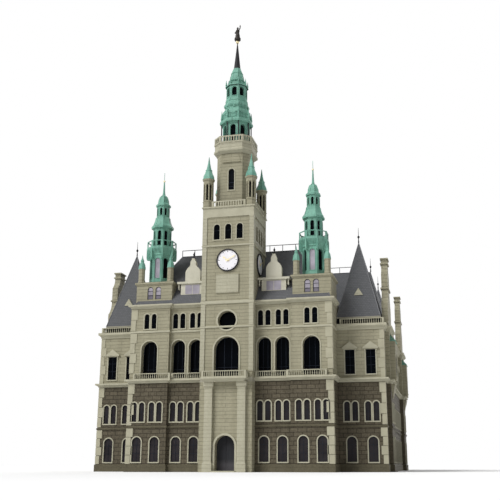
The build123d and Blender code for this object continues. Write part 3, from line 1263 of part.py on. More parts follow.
def lantern_bases():
    """Lower, arched stage of the copper lantern turrets, its flared head and the railing on it."""
    cx, cy = RISALIT_AXIS, LANTERN_AXIS_Y
    z0, z1 = LANTERN_LOW
    shell = lantern_shell(LANTERN_LOW_HALF, 0.28, z0, z1, LANTERN_LOW_OPENING, cx, cy)
    head = stacked([ngon(half, z, 8, cx, cy) for half, z in LANTERN_HEAD])
    low, high = LANTERN_GALLERY, LANTERN_GALLERY + LANTERN_RAIL
    rim = LANTERN_HEAD[-1][0] - 0.05
    ring = stacked([ngon(rim, z, 8, cx, cy) for z in (low, high)])
    core = stacked([ngon(rim - 0.10, z, 8, cx, cy) for z in (low, high)])
    opening = block(-0.6, 0.6, -3, 3, low + 0.12, high - 0.12)
    cutters = [opening.rotate(Axis.Z, 45 * i).moved(Location((cx, cy, 0))) for i in range(4)]
    railing = cut(ring, core, *cutters)[0]
    return both_sides(cut(shell[0] + head + railing, roof_space()))


def lantern_tops():
    """Middle and upper lanterns, bell, dome and needle."""
    cx, cy = RISALIT_AXIS, LANTERN_AXIS_Y
    mid = lantern_shell(LANTERN_MID_HALF, 0.22, LANTERN_GALLERY, LANTERN_MID_TOP, LANTERN_MID_OPENING, cx, cy)[0]
    bell = stacked([ngon(half, z, 8, cx, cy) for half, z in LANTERN_BELL])
    top = lantern_shell(LANTERN_TOP_HALF, 0.18, LANTERN_BELL[-1][1], LANTERN_TOP, LANTERN_TOP_OPENING, cx, cy)[0]
    dome = stacked([ngon(half, z, 8, cx, cy) for half, z in LANTERN_DOME])
    ball = Solid.make_sphere(0.14).moved(Location((cx, cy, 41.1)))
    rod = Solid.make_cylinder(0.035, 1.6).moved(Location((cx, cy, 40.8)))
    return both_sides(solids_of(mid + bell + top + dome + ball + rod))


def dormers():
    """Stone dormers with a wide cornice on brackets and a bell-shaped gable."""
    x, y0 = DORMER_AXIS, DORMER_FRONT
    z0, z1 = DORMER_LEVELS
    half, reach = DORMER_HALF, DORMER_HALF + DORMER_OVERHANG
    base = block(x - half, x + half, y0, y0 + DORMER_DEPTH, z0, z1)
    shelf = block(x - reach, x + reach, y0 - 0.2, y0 + DORMER_DEPTH, z1, DORMER_CORNICE_TOP)
    width, low = DORMER_BRACKET
    outer = reach - 0.12
    brackets = [block(x + side * (outer - width / 2) - width / 2, x + side * (outer - width / 2) + width / 2,
                      y0, y0 + 2 * width, low, z1) for side in (-1, 1)]
    foot, top, h = DORMER_CORNICE_TOP, DORMER_GABLE_TOP, DORMER_GABLE_HALF
    right = [
        Edge.make_line((h, 0, foot), (h, 0, foot + 1.25)),
        Edge.make_three_point_arc((h, 0, foot + 1.25), (0.92, 0, foot + 1.75), (0.52, 0, foot + 2.15)),
        Edge.make_line((0.52, 0, foot + 2.15), (0.42, 0, foot + 2.3)),
        Edge.make_line((0.42, 0, foot + 2.3), (0.38, 0, top - 0.45)),
        Edge.make_line((0.38, 0, top - 0.45), (0.20, 0, top - 0.2)),
        Edge.make_line((0.20, 0, top - 0.2), (0.20, 0, top)),
        Edge.make_line((0.20, 0, top), (0, 0, top)),
    ]
    outline = symmetric_wire(Edge.make_line((-h, 0, foot), (h, 0, foot)), right)
    gable = Solid.extrude(Face(outline), Vector(0, 0.7, 0)).moved(Location((x, y0, 0)))
    finial = turned([(0.07, top - 0.1), (0.05, top + 0.45), (0.12, top + 0.6), (0.04, top + 0.75),
                     (0.02, DORMER_FINIAL_TOP)], x, y0 + 0.35)[0]
    whole = base + shelf + brackets[0] + brackets[1] + gable + finial
    return both_sides(cut(whole, roof_space()))


# ---------------------------------------------------------------- side bays, gables, oriels

def side_bays():
    """Shallow projecting bays of the side fronts, up to the wing cornice."""
    z1 = MAIN_CORNICE[0]
    lower = at_right(slab_with_holes(BAY0, BAY1, 0, z1, SIDE_BAY_PROJECTION, holes(GABLE_OPENINGS, 0, z1)), BAY_FACE)
    z0, z1 = MAIN_CORNICE
    belt = block(WING_HALF, BAY_FACE, BAY0, BAY1, z0 + JOINT, z1 - JOINT)
    z0, z1 = MAIN_CORNICE[1], WING_CORNICE[0]
    openings = holes([ORIEL_DOOR], z0, z1)
    upper = at_right(slab_with_holes(BAY0, BAY1, z0, z1, SIDE_BAY_PROJECTION, openings), BAY_FACE)
    return four_corners([lower, belt, upper])


def side_gables():
    """Stepped gables with scrolled shoulders and a ledge at each step, over the side bays."""
    foot, h = WING_CORNICE[1], SIDE_BAY_HALF
    (z0, in0), (z1, in1), (z2, in2), (z3, in3) = GABLE_STEPS
    right = [
        Edge.make_line((h - in0, 0, foot), (h - in0, 0, z0)),
        Edge.make_three_point_arc((h - in0, 0, z0), (h - 0.75, 0, z0 + 0.9), (h - in1, 0, z1)),
        Edge.make_line((h - in1, 0, z1), (h - in2, 0, z2)),
        Edge.make_three_point_arc((h - in2, 0, z2), (h - 1.55, 0, z2 + 0.7), (h - in3, 0, z3)),
        Edge.make_line((h - in3, 0, z3), (h - in3, 0, GABLE_TOP)),
        Edge.make_line((h - in3, 0, GABLE_TOP), (0, 0, GABLE_TOP)),
    ]
    outline = symmetric_wire(Edge.make_line((-h, 0, foot), (h, 0, foot)), right)
    gable = Solid.extrude(Face(outline), Vector(0, GABLE_THICKNESS, 0))
    out, high = GABLE_LEDGE
    for level, inset in GABLE_LEDGES:
        reach = h - inset + out
        gable = gable + block(-reach, reach, -out, GABLE_THICKNESS + out, level, level + high)
    return four_corners([at_right(s, BAY_FACE) for s in solids_of(gable.moved(Location((SIDE_BAY_MIDDLE, 0, 0))))])


def oriels():
    """Hollow stone oriels that stand on the main cornice, over corbels that carry it."""
    middle = SIDE_BAY_MIDDLE
    y0, y1 = middle - ORIEL_HALF, middle + ORIEL_HALF
    z0 = MAIN_CORNICE[1]
    body = block(BAY_FACE, ORIEL_OUT, y0, y1, z0, ORIEL_TOP)
    room = block(BAY_FACE, ORIEL_OUT - ORIEL_WALL, y0 + ORIEL_WALL, y1 - ORIEL_WALL, z0 + ORIEL_WALL,
                 ORIEL_TOP - ORIEL_WALL)
    light = Solid.extrude(Face(window_wire(middle, ORIEL_WINDOW)), Vector(0, 2 * ORIEL_WALL, 0))
    rings = [[(BAY_FACE, middle - half, z), (BAY_FACE + out, middle - half, z), (BAY_FACE + out, middle + half, z),
              (BAY_FACE, middle + half, z)] for z, out, half in ORIEL_CORBEL]
    return four_corners([*cut(body, room, at_right(light, ORIEL_OUT + ORIEL_WALL / 2)), stacked(rings)])


def oriel_roof():
    z0 = ORIEL_TOP
    y0, y1 = SIDE_BAY_MIDDLE - ORIEL_HALF - 0.1, SIDE_BAY_MIDDLE + ORIEL_HALF + 0.1
    x0, x1 = BAY_FACE, ORIEL_OUT + 0.1
    low = [(x0, y0, z0), (x1, y0, z0), (x1, y1, z0), (x0, y1, z0)]
    high = [(x0, y0 + 1.2, ORIEL_ROOF_TOP), (x0 + 0.1, y0 + 1.2, ORIEL_ROOF_TOP),
            (x0 + 0.1, y1 - 1.2, ORIEL_ROOF_TOP), (x0, y1 - 1.2, ORIEL_ROOF_TOP)]
    return solid_between(low, high)


def roof_finials():
    """Rods with balls on the pyramids and at the ends of the middle ridge."""
    x, y, z = PAVILION_APEX
    shape = [(0.10, z), (0.05, z + 0.6), (0.16, z + 0.75), (0.16, z + 0.9), (0.04, z + 1.05), (0.02, z + 2.2)]
    corner = turned(shape, x, y)
    drop = z - RIDGE
    ridge_end = turned([(r, h - drop + SEAT) for r, h in shape], MIDDLE_RIDGE_HALF, MIDDLE)
    return [*four_corners(corner), *both_sides(ridge_end)]


def ridge_railings():
    """Iron railings along the ridges: posts under a top rail."""
    post, rail = 0.04, 1.0
    railings = []
    for half, y in ((FRONT_RIDGE_HALF, FRONT_RIDGE_Y), (MIDDLE_RIDGE_HALF - 1, MIDDLE),
                    (FRONT_RIDGE_HALF, REAR - FRONT_RIDGE_Y)):
        z0 = RIDGE + SEAT
        count = max(2, round(half))
        pitch = 2 * half / count
        whole = block(-half - post, half + post, y - post, y + post, z0 + rail - 2 * post, z0 + rail)
        whole = whole + block(-half - post, half + post, y - post, y + post, z0, z0 + 2 * post)
        for i in range(count + 1):
            x = -half + pitch * i
            whole = whole + block(x - post, x + post, y - post, y + post, z0, z0 + rail)
        railings += solids_of(whole)
    return railings


# ---------------------------------------------------------------- writing

FRONT_MOST = BALCONY_FRONT
REAR_MOST = REAR - RISALIT_FRONT + MAIN_CORNICE_PROJECTION
ORIGIN_Y = (FRONT_MOST + REAR_MOST) / 2


def write_node(name, solids):
    placed = [solid.moved(Location((0, -ORIGIN_Y, 0))) for solid in solids]
    export_step(scale(Compound(placed), by=MM), f"parts/{name}.step")


def hand_nodes():
    nodes = {}
    for face, turn in (("front", 0), ("right", 90), ("left", -90)):
        nodes[f"{face}_minute_hand"] = [on_tower_face(s, turn) for s in minute_hand()]
        nodes[f"{face}_hour_hand"] = [on_tower_face(s, turn) for s in hour_hand()]
    return nodes


LOWER = (0, MAIN_CORNICE[0])
UPPER = (MAIN_CORNICE[1], EAVES_CORNICE[0])
WING_UPPER = (MAIN_CORNICE[1], WING_CORNICE[0])


def upper_side_walls():
    """Side walls up to the wing cornice; the risalits' returns and the clerestory go on to the eaves."""
    inside = WING_FRONT + WALL
    openings = [*SIDE_OPENINGS, *BEHIND_GABLE, *MIRRORED_BEHIND_GABLE]
    side = at_right(slab_with_holes(inside, REAR - inside, *WING_UPPER, WALL, holes(openings, *WING_UPPER)),
                    WING_HALF)
    return_wall = block(RISALIT_OUT - WALL, RISALIT_OUT, MID_FRONT + WALL, inside, *UPPER)
    return [*both_sides([side]), *four_corners([return_wall]), *clerestory_walls()]


def all_nodes():
    right_leaf = door_leaf()
    dial = clock_dial()
    return {
        "ground_floor": ground_floor(),
        "storey_floors": [*floor_slabs(STRING_1[1] - FLOOR_THICKNESS, STRING_1[1]), *floor_slabs(*STRING_2)],
        "main_floor": main_floor(),
        "roof_decks": [*attic_floor(), *wing_decks()],
        "plinth": plinth(),
        "lower_front_walls": both_sides(front_walls(*LOWER)),
        "lower_back_wall": back_wall(*LOWER),
        "lower_wing_walls": wing_walls(*LOWER),
        "lower_side_walls": side_walls(*LOWER),
        "upper_front_walls": both_sides(front_walls(*UPPER)),
        "upper_back_wall": back_wall(*UPPER),
        "upper_wing_walls": [*wing_walls(*WING_UPPER), *wing_eaves_walls()],
        "upper_side_walls": upper_side_walls(),
        "portal_piers": portal_piers(),
        "portal_head": portal_head(),
        "portal_pilasters": portal_pilasters(),
        "door_hinges": door_hinges(),
        "right_door_leaf": right_leaf,
        "left_door_leaf": mirrored_x(right_leaf),
        "tower_front_wall": tower_front_wall(),
        "tower_side_walls": [*tower_lower_walls(), *tower_side_walls()],
        "tower_back_wall": tower_back_wall(),
        "tower_floors": tower_floors(),
        "tower_bands": tower_bands(),
        "tower_corner_strips": tower_corner_strips(),
        "tower_top": tower_top(),
        "tower_parapet": tower_parapet(),
        "tower_turrets": tower_turrets(),
        "tower_upper_stage": tower_upper_stage(),
        "spire_gallery": spire_gallery(),
        "spire_lanterns": [*spire_lantern(), *spire_upper_lantern()],
        "spire_bells": [*spire_bell(), *spire_cap()],
        "spire_spike": spire_spike(),
        "spire_ball": spire_ball(),
        "spire_statue": spire_statue(),
        "copper_caps": copper_caps(),
        "clock_dials": [on_tower_face(s, turn) for turn in (0, 90, -90) for s in dial],
        **hand_nodes(),
        "lower_string_course": lower_string_course(),
        "upper_string_course": upper_string_course(),
        "main_cornice": main_cornice(),
        "eaves_cornices": eaves_cornices(),
        "tower_balcony": tower_balcony(),
        "balustrades": balustrades(),
        "opening_surrounds": [*window_surrounds(), *door_surround()],
        "window_panes": window_panes(),
        "main_roofs": main_roofs(),
        "pavilion_roofs": pavilion_roofs(),
        "attic_blocks": attic_blocks(),
        "lantern_bases": lantern_bases(),
        "lantern_tops": lantern_tops(),
        "dormers": dormers(),
        "side_bays": [*side_bays(), *side_gables()],
        "oriels": oriels(),
        "roof_ironwork": [*roof_finials(), *ridge_railings(), *spire_columns()],
    }


os.makedirs("parts", exist_ok=True)
for node_name, node_solids in all_nodes().items():
    write_node(node_name, node_solids)
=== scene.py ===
"""Looks of the town hall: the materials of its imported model, and the detail that is too fine for it."""
import json
import math

import bmesh
import bpy
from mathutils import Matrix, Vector


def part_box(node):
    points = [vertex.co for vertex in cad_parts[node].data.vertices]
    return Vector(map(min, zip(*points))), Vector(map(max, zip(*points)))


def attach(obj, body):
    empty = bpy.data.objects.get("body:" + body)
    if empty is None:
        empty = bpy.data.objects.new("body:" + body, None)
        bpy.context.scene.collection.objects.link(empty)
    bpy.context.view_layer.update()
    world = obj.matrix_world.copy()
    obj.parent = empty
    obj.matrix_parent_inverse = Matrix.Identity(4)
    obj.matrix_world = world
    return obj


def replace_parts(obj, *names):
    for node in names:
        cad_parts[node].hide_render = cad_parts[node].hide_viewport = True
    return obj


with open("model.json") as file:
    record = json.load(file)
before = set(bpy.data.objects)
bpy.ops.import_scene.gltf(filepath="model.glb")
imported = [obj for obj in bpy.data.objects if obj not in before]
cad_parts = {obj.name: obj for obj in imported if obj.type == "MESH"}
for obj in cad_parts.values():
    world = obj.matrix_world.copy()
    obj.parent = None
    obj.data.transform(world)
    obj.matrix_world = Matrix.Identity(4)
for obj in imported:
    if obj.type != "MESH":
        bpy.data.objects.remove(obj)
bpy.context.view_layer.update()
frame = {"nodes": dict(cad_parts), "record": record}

# Sizes are in metres of the full-size building, as in the part's source. The model is 1:2, with
# its origin under the middle of the building.
SCALE = 0.5
ORIGIN_Y = 23.1135
REAR = 48.0              # a front depth Y stands at REAR - Y in the rear
SIDES = (-1, 1)

# Walls
MID_FRONT, RISALIT_FRONT, WING_FRONT = 1.504, 0.973, 5.30
RISALIT_IN, RISALIT_OUT, WING_HALF = 8.317, 13.757, 19.97
RISALIT_AXIS = 11.04
BAY_MIDDLE, BAY_HALF = 10.6, 2.6
BAY_FACE = WING_HALF + 0.53
ORIEL_FACE = 21.2
ATTIC_FRONT = 1.9
PORTAL_FRONT = -0.1
PILASTER_X, PILASTER_FRONT = (1.67, 2.72), -0.55

# Tower
TOWER_HALF, TOWER_DEPTH = 3.5, 7.0
TOWER_MIDDLE = TOWER_DEPTH / 2
OCULUS_Z, OCULUS_RING = 19.30, (1.47, 1.25)
CLOCK_Z, CLOCK_BEZEL, DIAL_FACE = 27.46, (1.555, 1.395), 0.10
STAGE_HALF = 2.3
STAGE_FRONT = TOWER_MIDDLE - STAGE_HALF
TURRET_INSET, TURRET_TOP = 0.44, 39.27
# Half width of the near-black painted shade inside the turrets, and the levels of their slots
TURRET_SHADE_HALF, TURRET_SLOTS = 0.355, (36.15, 38.45)

# Windows: half width, sill, head, arched
GROUND = (0.62, 1.256, 4.405, True)
FIRST = (0.375, 6.38, 8.88, True)
WING_MAIN = (0.64, 12.44, 15.65, False)
MID_MAIN = (0.95, 12.05, 17.13, True)
RISALIT_MAIN = (1.13, 12.05, 17.03, True)
UPPER = (0.35, 18.70, 20.75, True)
BALCONY_WINDOW = (1.67, 11.95, 17.13, True)
BELFRY_WINDOW = (0.43, 30.42, 32.58, True)
STAGE_WINDOW = (0.42, 37.90, 41.04, True)
ATTIC_WINDOW = (0.41, 23.0, 24.75, True)
ATTIC_PANEL = (0.41, 23.55, 24.75, True)
ORIEL_WINDOW = (0.80, 12.50, 15.60, True)
DORMER_WINDOW = (0.49, 23.66, 24.94, False)
SHALLOW, DEEP = 0.12, 0.90    # from the face of a wall to its panes
DEEP_WINDOWS = (MID_MAIN, RISALIT_MAIN)
FIRST_PAIR, UPPER_PAIR, ATTIC_PAIR, DORMER_PAIR = 0.53, 0.51, 0.58, 0.53    # axes from the pair's middle
BELFRY_AXES = (-1.61, 0, 1.61)

# Window axes along the walls
MID_BAYS, RISALIT_BAYS, WING_BAYS = (4.70, 7.12), (9.88, 12.32), (15.45, 18.20)
REAR_CENTRE_BAYS = (-2.35, 0.0, 2.35)
SIDE_BAYS = [REAR / 2 + 2.7 * (i - 3.5) for i in range(8)]
GABLE_BAYS = (BAY_MIDDLE - 1.3, BAY_MIDDLE + 1.3)

# Eight-sided copper stages. A lantern is its half width, wall, opening, foot and top; a profile is
# a list of (half width, level).
SPIRE_LANTERNS = ((1.84, 0.30, (0.40, 45.3, 48.1, True), 45.0, 48.45),
                  (1.42, 0.25, (0.36, 52.8, 54.2, True), 52.45, 54.45))
SPIRE_PROFILES = (((1.93, 49.15), (1.93, 50.10), (1.80, 50.45), (1.55, 50.85)),
                  ((1.50, 51.90), (1.46, 52.45)),
                  ((1.30, 54.80), (1.04, 55.10), (1.02, 55.30)),
                  ((0.96, 55.80), (0.92, 56.20), (0.78, 56.70)))
ATTIC_LANTERNS = ((1.5, 0.28, (0.38, 26.2, 29.15, True), 25.4, 29.5),
                  (1.2, 0.22, (0.26, 31.1, 33.3, True), 30.7, 33.71),
                  (0.85, 0.18, (0.18, 35.7, 36.8, True), 35.42, 37.11))
ATTIC_PROFILES = (((1.47, 33.95), (1.20, 34.35), (1.00, 35.0), (0.95, 35.42)),
                  ((0.72, 37.63), (0.68, 38.1), (0.50, 38.66), (0.22, 38.9)))
LANTERN_Y, LANTERN_BALL_Z, LANTERN_BALL = 4.2, 41.1, 0.155
EIGHTHS = range(0, 360, 45)

# Roofs
DORMER_X, DORMER_FRONT = 5.75, 2.6
PINNACLE_OFFSETS, PINNACLE_Y, PINNACLE_FOOT = (-2.12, 2.12), 2.32, 27.45
PAVILION = (16.70, 8.75, 31.3, 2.94, 3.1, 20.12)  # apex, half width, half depth, foot
EAVES_Y, VALLEY_Y = 1.25, 16.349
HIP_FOOT_X, HIP_FOOT_Z, HIP_FEET_Y = 13.63, 22.05, (1.27, 16.33)
HIP_TOP = (9.5, (EAVES_Y + VALLEY_Y) / 2, 30.70)


def at(x, y, z):
    """A point of the full-size building in the model's frame."""
    return Vector((x * SCALE, (y - ORIGIN_Y) * SCALE, z * SCALE))


def span(side, near, far):
    """Ends, lower first, of a stretch on one side of the building's middle."""
    return sorted((side * near, side * far))


def quarter(side, in_rear):
    """Puts a point of the right front quarter in one of the building's four quarters."""
    return lambda x, y, z: (side * x, REAR - y if in_rear else y, z)


# ---------------------------------------------------------------- places on the walls

# A place turns u, the way along a wall, d, the distance out from its face, and z into a point.

def front(face):
    return lambda u, d, z: (u, face - d, z)


def behind(face):
    return lambda u, d, z: (u, face + d, z)


def rear(face):
    return behind(REAR - face)


def right(face):
    return lambda u, d, z: (face + d, u, z)


def left(face):
    return lambda u, d, z: (-face - d, u, z)


def octagon_face(cx, cy, half, turn):
    """One face of an eight-sided stage, so many degrees round from the front."""
    angle = math.radians(turn)
    nx, ny = math.sin(angle), -math.cos(angle)
    return lambda u, d, z: (cx + (half + d) * nx - u * ny, cy + (half + d) * ny + u * nx, z)


# ---------------------------------------------------------------- windows in the outer walls

def singles(bays, window):
    return [(bay, window) for bay in bays]


def pairs(bays, window, offset):
    return [(bay + side * offset, window) for bay in bays for side in SIDES]


def storeys(bays, main, upper=()):
    """(centre, window) for a stretch of wall, from the ground storey up."""
    return singles(bays, GROUND) + pairs(bays, FIRST, FIRST_PAIR) + main + pairs(upper, UPPER, UPPER_PAIR)


FRONT_WINDOWS = ((storeys(MID_BAYS, singles(MID_BAYS, MID_MAIN), MID_BAYS), MID_FRONT),
                 (storeys(RISALIT_BAYS, [(RISALIT_AXIS, RISALIT_MAIN)], (RISALIT_AXIS,)), RISALIT_FRONT),
                 (storeys(WING_BAYS, singles(WING_BAYS, WING_MAIN)), WING_FRONT))


def facade_windows():
    """(centre, window, place) of every opening in the outer walls."""
    for openings, face in FRONT_WINDOWS:
        for centre, window in openings:
            for side in SIDES:
                yield side * centre, window, front(face)
                yield side * centre, window, rear(face)
    for centre, window in storeys(REAR_CENTRE_BAYS, singles(REAR_CENTRE_BAYS, MID_MAIN), REAR_CENTRE_BAYS):
        yield centre, window, rear(MID_FRONT)
    for centre, window in storeys(SIDE_BAYS, singles(SIDE_BAYS, WING_MAIN)):
        yield centre, window, right(WING_HALF)
        yield centre, window, left(WING_HALF)
    for centre, window in storeys(GABLE_BAYS, []):
        for y in (centre, REAR - centre):
            yield y, window, right(BAY_FACE)
            yield y, window, left(BAY_FACE)


# ---------------------------------------------------------------- outlines

def rectangle(u0, u1, z0, z1):
    return [(u0, z0), (u1, z0), (u1, z1), (u0, z1)]


def circle(level, radius, steps):
    """Circle about the middle of a wall, as (u, z)."""
    return [(radius * math.cos(math.tau * i / steps), level + radius * math.sin(math.tau * i / steps))
            for i in range(steps)]


def outline_of(centre, window, grow=0.0, steps=10):
    """Outline of a window as (u, z), grown or shrunk all round."""
    half, sill, head, arched = window
    low, wide = sill - grow, half + grow
    if not arched:
        return rectangle(centre - wide, centre + wide, low, head + grow)
    spring = head - half
    arc = [(centre + wide * math.cos(math.pi * i / steps), spring + wide * math.sin(math.pi * i / steps))
           for i in range(steps + 1)]
    return [(centre - wide, low), (centre + wide, low), *arc]


def octagon(cx, cy, half, z):
    """Plan of an eight-sided stage at one level."""
    radius = half / math.cos(math.pi / 8)
    turns = [(i + 0.5) * math.pi / 4 for i in range(8)]
    return [(cx + radius * math.cos(turn), cy + radius * math.sin(turn), z) for turn in turns]


# ---------------------------------------------------------------- materials

class Nodes:
    """Short way to build a material's nodes."""

    def __init__(self, name, roughness, metallic=0.0, gloss=0.5):
        self.material = bpy.data.materials.new(name)
        self.material.use_nodes = True
        self.tree = self.material.node_tree
        self.shader = self.tree.nodes["Principled BSDF"]
        self.shader.inputs["Roughness"].default_value = roughness
        self.shader.inputs["Metallic"].default_value = metallic
        self.shader.inputs["Specular IOR Level"].default_value = gloss

    def add(self, kind, inputs=None, **settings):
        node = self.tree.nodes.new(kind)
        for key, value in settings.items():
            setattr(node, key, value)
        for key, value in (inputs or {}).items():
            if isinstance(value, bpy.types.NodeSocket):
                self.tree.links.new(value, node.inputs[key])
            else:
                node.inputs[key].default_value = value
        return node

    def math(self, operation, a, b=0.0):
        return self.add("ShaderNodeMath", {0: a, 1: b}, operation=operation).outputs[0]

    def mix(self, factor, a, b, blend="MIX"):
        return self.add("ShaderNodeMix", {0: factor, 6: a, 7: b}, data_type="RGBA", blend_type=blend).outputs[2]

    def ramp(self, factor, low, high):
        node = self.add("ShaderNodeMapRange", {"Value": factor, "From Min": low, "From Max": high})
        return node.outputs["Result"]

    def place(self):
        return self.add("ShaderNodeTexCoord").outputs["Object"]

    def stretched(self, x, y, z):
        return self.add("ShaderNodeMapping", {"Vector": self.place(), "Scale": (x, y, z)}).outputs[0]

    def split(self, vector):
        return self.add("ShaderNodeSeparateXYZ", {0: vector}).outputs

    def noise(self, scale, detail, vector=None):
        place = self.place() if vector is None else vector
        return self.add("ShaderNodeTexNoise", {"Scale": scale, "Detail": detail, "Vector": place}).outputs["Fac"]

    def wall_plane(self):
        """(along the wall, up, 0), whichever way the wall faces."""
        position = self.split(self.place())
        normal = self.split(self.add("ShaderNodeNewGeometry").outputs["True Normal"])
        sideways = self.math("GREATER_THAN", self.math("ABSOLUTE", normal[0]), self.math("ABSOLUTE", normal[1]))
        facing_x = self.math("MULTIPLY", sideways, position[1])
        facing_y = self.math("MULTIPLY", self.math("SUBTRACT", 1.0, sideways), position[0])
        along = self.math("ADD", facing_x, facing_y)
        return self.add("ShaderNodeCombineXYZ", {0: along, 1: position[2]}).outputs[0]

    def bricks(self, plane, tones, width, height, joint, smooth=0.1):
        """Staggered rows, in the model's metres; the tones are two for the blocks and one for the joints."""
        return self.add("ShaderNodeTexBrick", {
            "Vector": plane, "Color1": tones[0], "Color2": tones[1], "Mortar": tones[2], "Scale": 1.0,
            "Mortar Size": joint, "Mortar Smooth": smooth, "Brick Width": width, "Row Height": height}).outputs

    def colour(self, socket):
        self.tree.links.new(socket, self.shader.inputs["Base Color"])

    def bump(self, height, distance, strength):
        node = self.add("ShaderNodeBump", {"Height": height, "Distance": distance, "Strength": strength})
        self.tree.links.new(node.outputs[0], self.shader.inputs["Normal"])

    def roughness(self, socket):
        self.tree.links.new(socket, self.shader.inputs["Roughness"])


def rgb(r, g, b):
    return (r, g, b, 1.0)


def shade(colour, factor):
    return rgb(*(channel * factor for channel in colour[:3]))


def courses(name, colour, width, height, joint, joint_shade, spread, relief, grain, foot=None, level=0.0):
    """Coursed masonry: blocks of differing tone, dark joints, a rough face and rain streaks.
    Below a level it may have another colour, foot."""
    m = Nodes(name, 0.88, gloss=0.12)
    over = m.math("GREATER_THAN", m.split(m.place())[2], level * SCALE) if foot else None

    def toned(factor):
        return m.mix(over, shade(foot, factor), shade(colour, factor)) if foot else shade(colour, factor)

    blocks = m.bricks(m.wall_plane(), (toned(1 + spread), toned(1 - spread), toned(joint_shade)),
                      width * SCALE, height * SCALE, joint * SCALE, 0.35)
    speckle = m.noise(9.0, 6.0)
    streaks = m.noise(1.4, 5.0, m.stretched(1.3, 1.3, 0.16))
    tone = m.mix(m.ramp(speckle, 0.3, 0.75), rgb(0, 0, 0), rgb(1, 1, 1))
    grained = m.mix(grain, blocks["Color"], tone, "SOFT_LIGHT")
    worn = m.mix(m.ramp(streaks, 0.62, 0.30), grained, shade(colour, 0.60), "MULTIPLY")
    m.colour(m.mix(0.16, grained, worn))
    m.bump(m.math("SUBTRACT", m.math("MULTIPLY", speckle, 0.22), blocks["Fac"]), relief * SCALE, 0.7)
    m.roughness(m.ramp(speckle, -0.6, 1.25))
    return m.material


def copper():
    """Green patina, darker in runs and paler in specks."""
    m = Nodes("copper_patina_look", 0.62, gloss=0.25)
    blotches = m.noise(1.6, 7.0)
    fine = m.noise(14.0, 5.0)
    runs = m.noise(2.2, 4.0, m.stretched(2.6, 2.6, 0.22))
    base = m.mix(m.ramp(blotches, 0.35, 0.68), rgb(0.125, 0.305, 0.235), rgb(0.200, 0.415, 0.325))
    base = m.mix(m.math("MULTIPLY", m.ramp(runs, 0.52, 0.72), 0.6), base, rgb(0.060, 0.140, 0.105))
    base = m.mix(m.math("MULTIPLY", m.ramp(fine, 0.52, 0.74), 0.35), base, rgb(0.300, 0.520, 0.420))
    m.colour(base)
    m.bump(m.math("ADD", fine, m.math("MULTIPLY", blotches, 2.0)), 0.012, 0.5)
    m.roughness(m.ramp(blotches, -0.5, 1.2))
    return m.material


def slates():
    """Rows of slates, each tilted out at its lower edge."""
    m = Nodes("slate_look", 0.8, gloss=0.2)
    plane = m.wall_plane()
    row_height = 0.13
    tones = (rgb(0.116, 0.119, 0.126), rgb(0.098, 0.101, 0.107), rgb(0.068, 0.069, 0.074))
    rows = m.bricks(plane, tones, 0.18, row_height, 0.010, 0.2)
    weather = m.noise(0.9, 6.0)
    m.colour(m.mix(m.math("MULTIPLY", m.ramp(weather, 0.42, 0.75), 0.45), rows["Color"], rgb(0.132, 0.134, 0.138)))
    up_the_row = m.math("FRACT", m.math("DIVIDE", m.split(plane)[1], row_height))
    tilt = m.math("MULTIPLY", m.math("SUBTRACT", 1.0, up_the_row), 0.6)
    m.bump(m.math("SUBTRACT", tilt, rows["Fac"]), 0.012, 0.7)
    m.roughness(m.ramp(weather, -0.9, 1.0))
    return m.material


def speckled(name, low, high, scale, roughness, relief=0.0, metallic=0.0, gloss=0.5):
    """Plain painted, cast or dressed surface with a fine uneven tone."""
    m = Nodes(name, roughness, metallic, gloss)
    broad = m.noise(scale, 6.0)
    fine = m.noise(scale * 9, 4.0)
    tone = m.math("ADD", m.math("MULTIPLY", broad, 0.7), m.math("MULTIPLY", fine, 0.3))
    m.colour(m.mix(m.ramp(tone, 0.35, 0.66), rgb(*low), rgb(*high)))
    if relief:
        m.bump(tone, relief, 0.5)
    return m.material


def glazing(name, colour, roughness=0.12, gloss=0.05):
    """Glass over an unlit room, or a pale panel behind it, with a slight unevenness of each sheet."""
    m = Nodes(name, roughness, gloss=gloss)
    waves = m.noise(1.1, 3.0)
    m.colour(m.mix(m.ramp(waves, 0.3, 0.7), shade(colour, 0.75), shade(colour, 1.25)))
    m.bump(waves, 0.004, 0.15)
    return m.material


def boards():
    """Dark upright boards of the doors, paler towards the foot."""
    m = Nodes("door_boards", 0.7, gloss=0.15)
    tones = (rgb(0.027, 0.028, 0.032), rgb(0.023, 0.024, 0.028), rgb(0.016, 0.016, 0.019))
    planks = m.bricks(m.wall_plane(), tones, 0.085, 40.0, 0.003)
    grain = m.noise(6.0, 7.0, m.stretched(9, 9, 0.5))
    grained = m.mix(m.math("MULTIPLY", grain, 0.3), planks["Color"], rgb(0.045, 0.045, 0.050))
    # The boards grow paler towards the foot of the doors
    paler_foot = m.math("MULTIPLY", m.ramp(m.split(m.place())[2], 0.80, 0.45), 0.8)
    m.colour(m.mix(paler_foot, grained, rgb(0.082, 0.078, 0.086)))
    m.bump(m.math("SUBTRACT", m.math("MULTIPLY", grain, 0.3), planks["Fac"]), 0.003, 0.5)
    return m.material


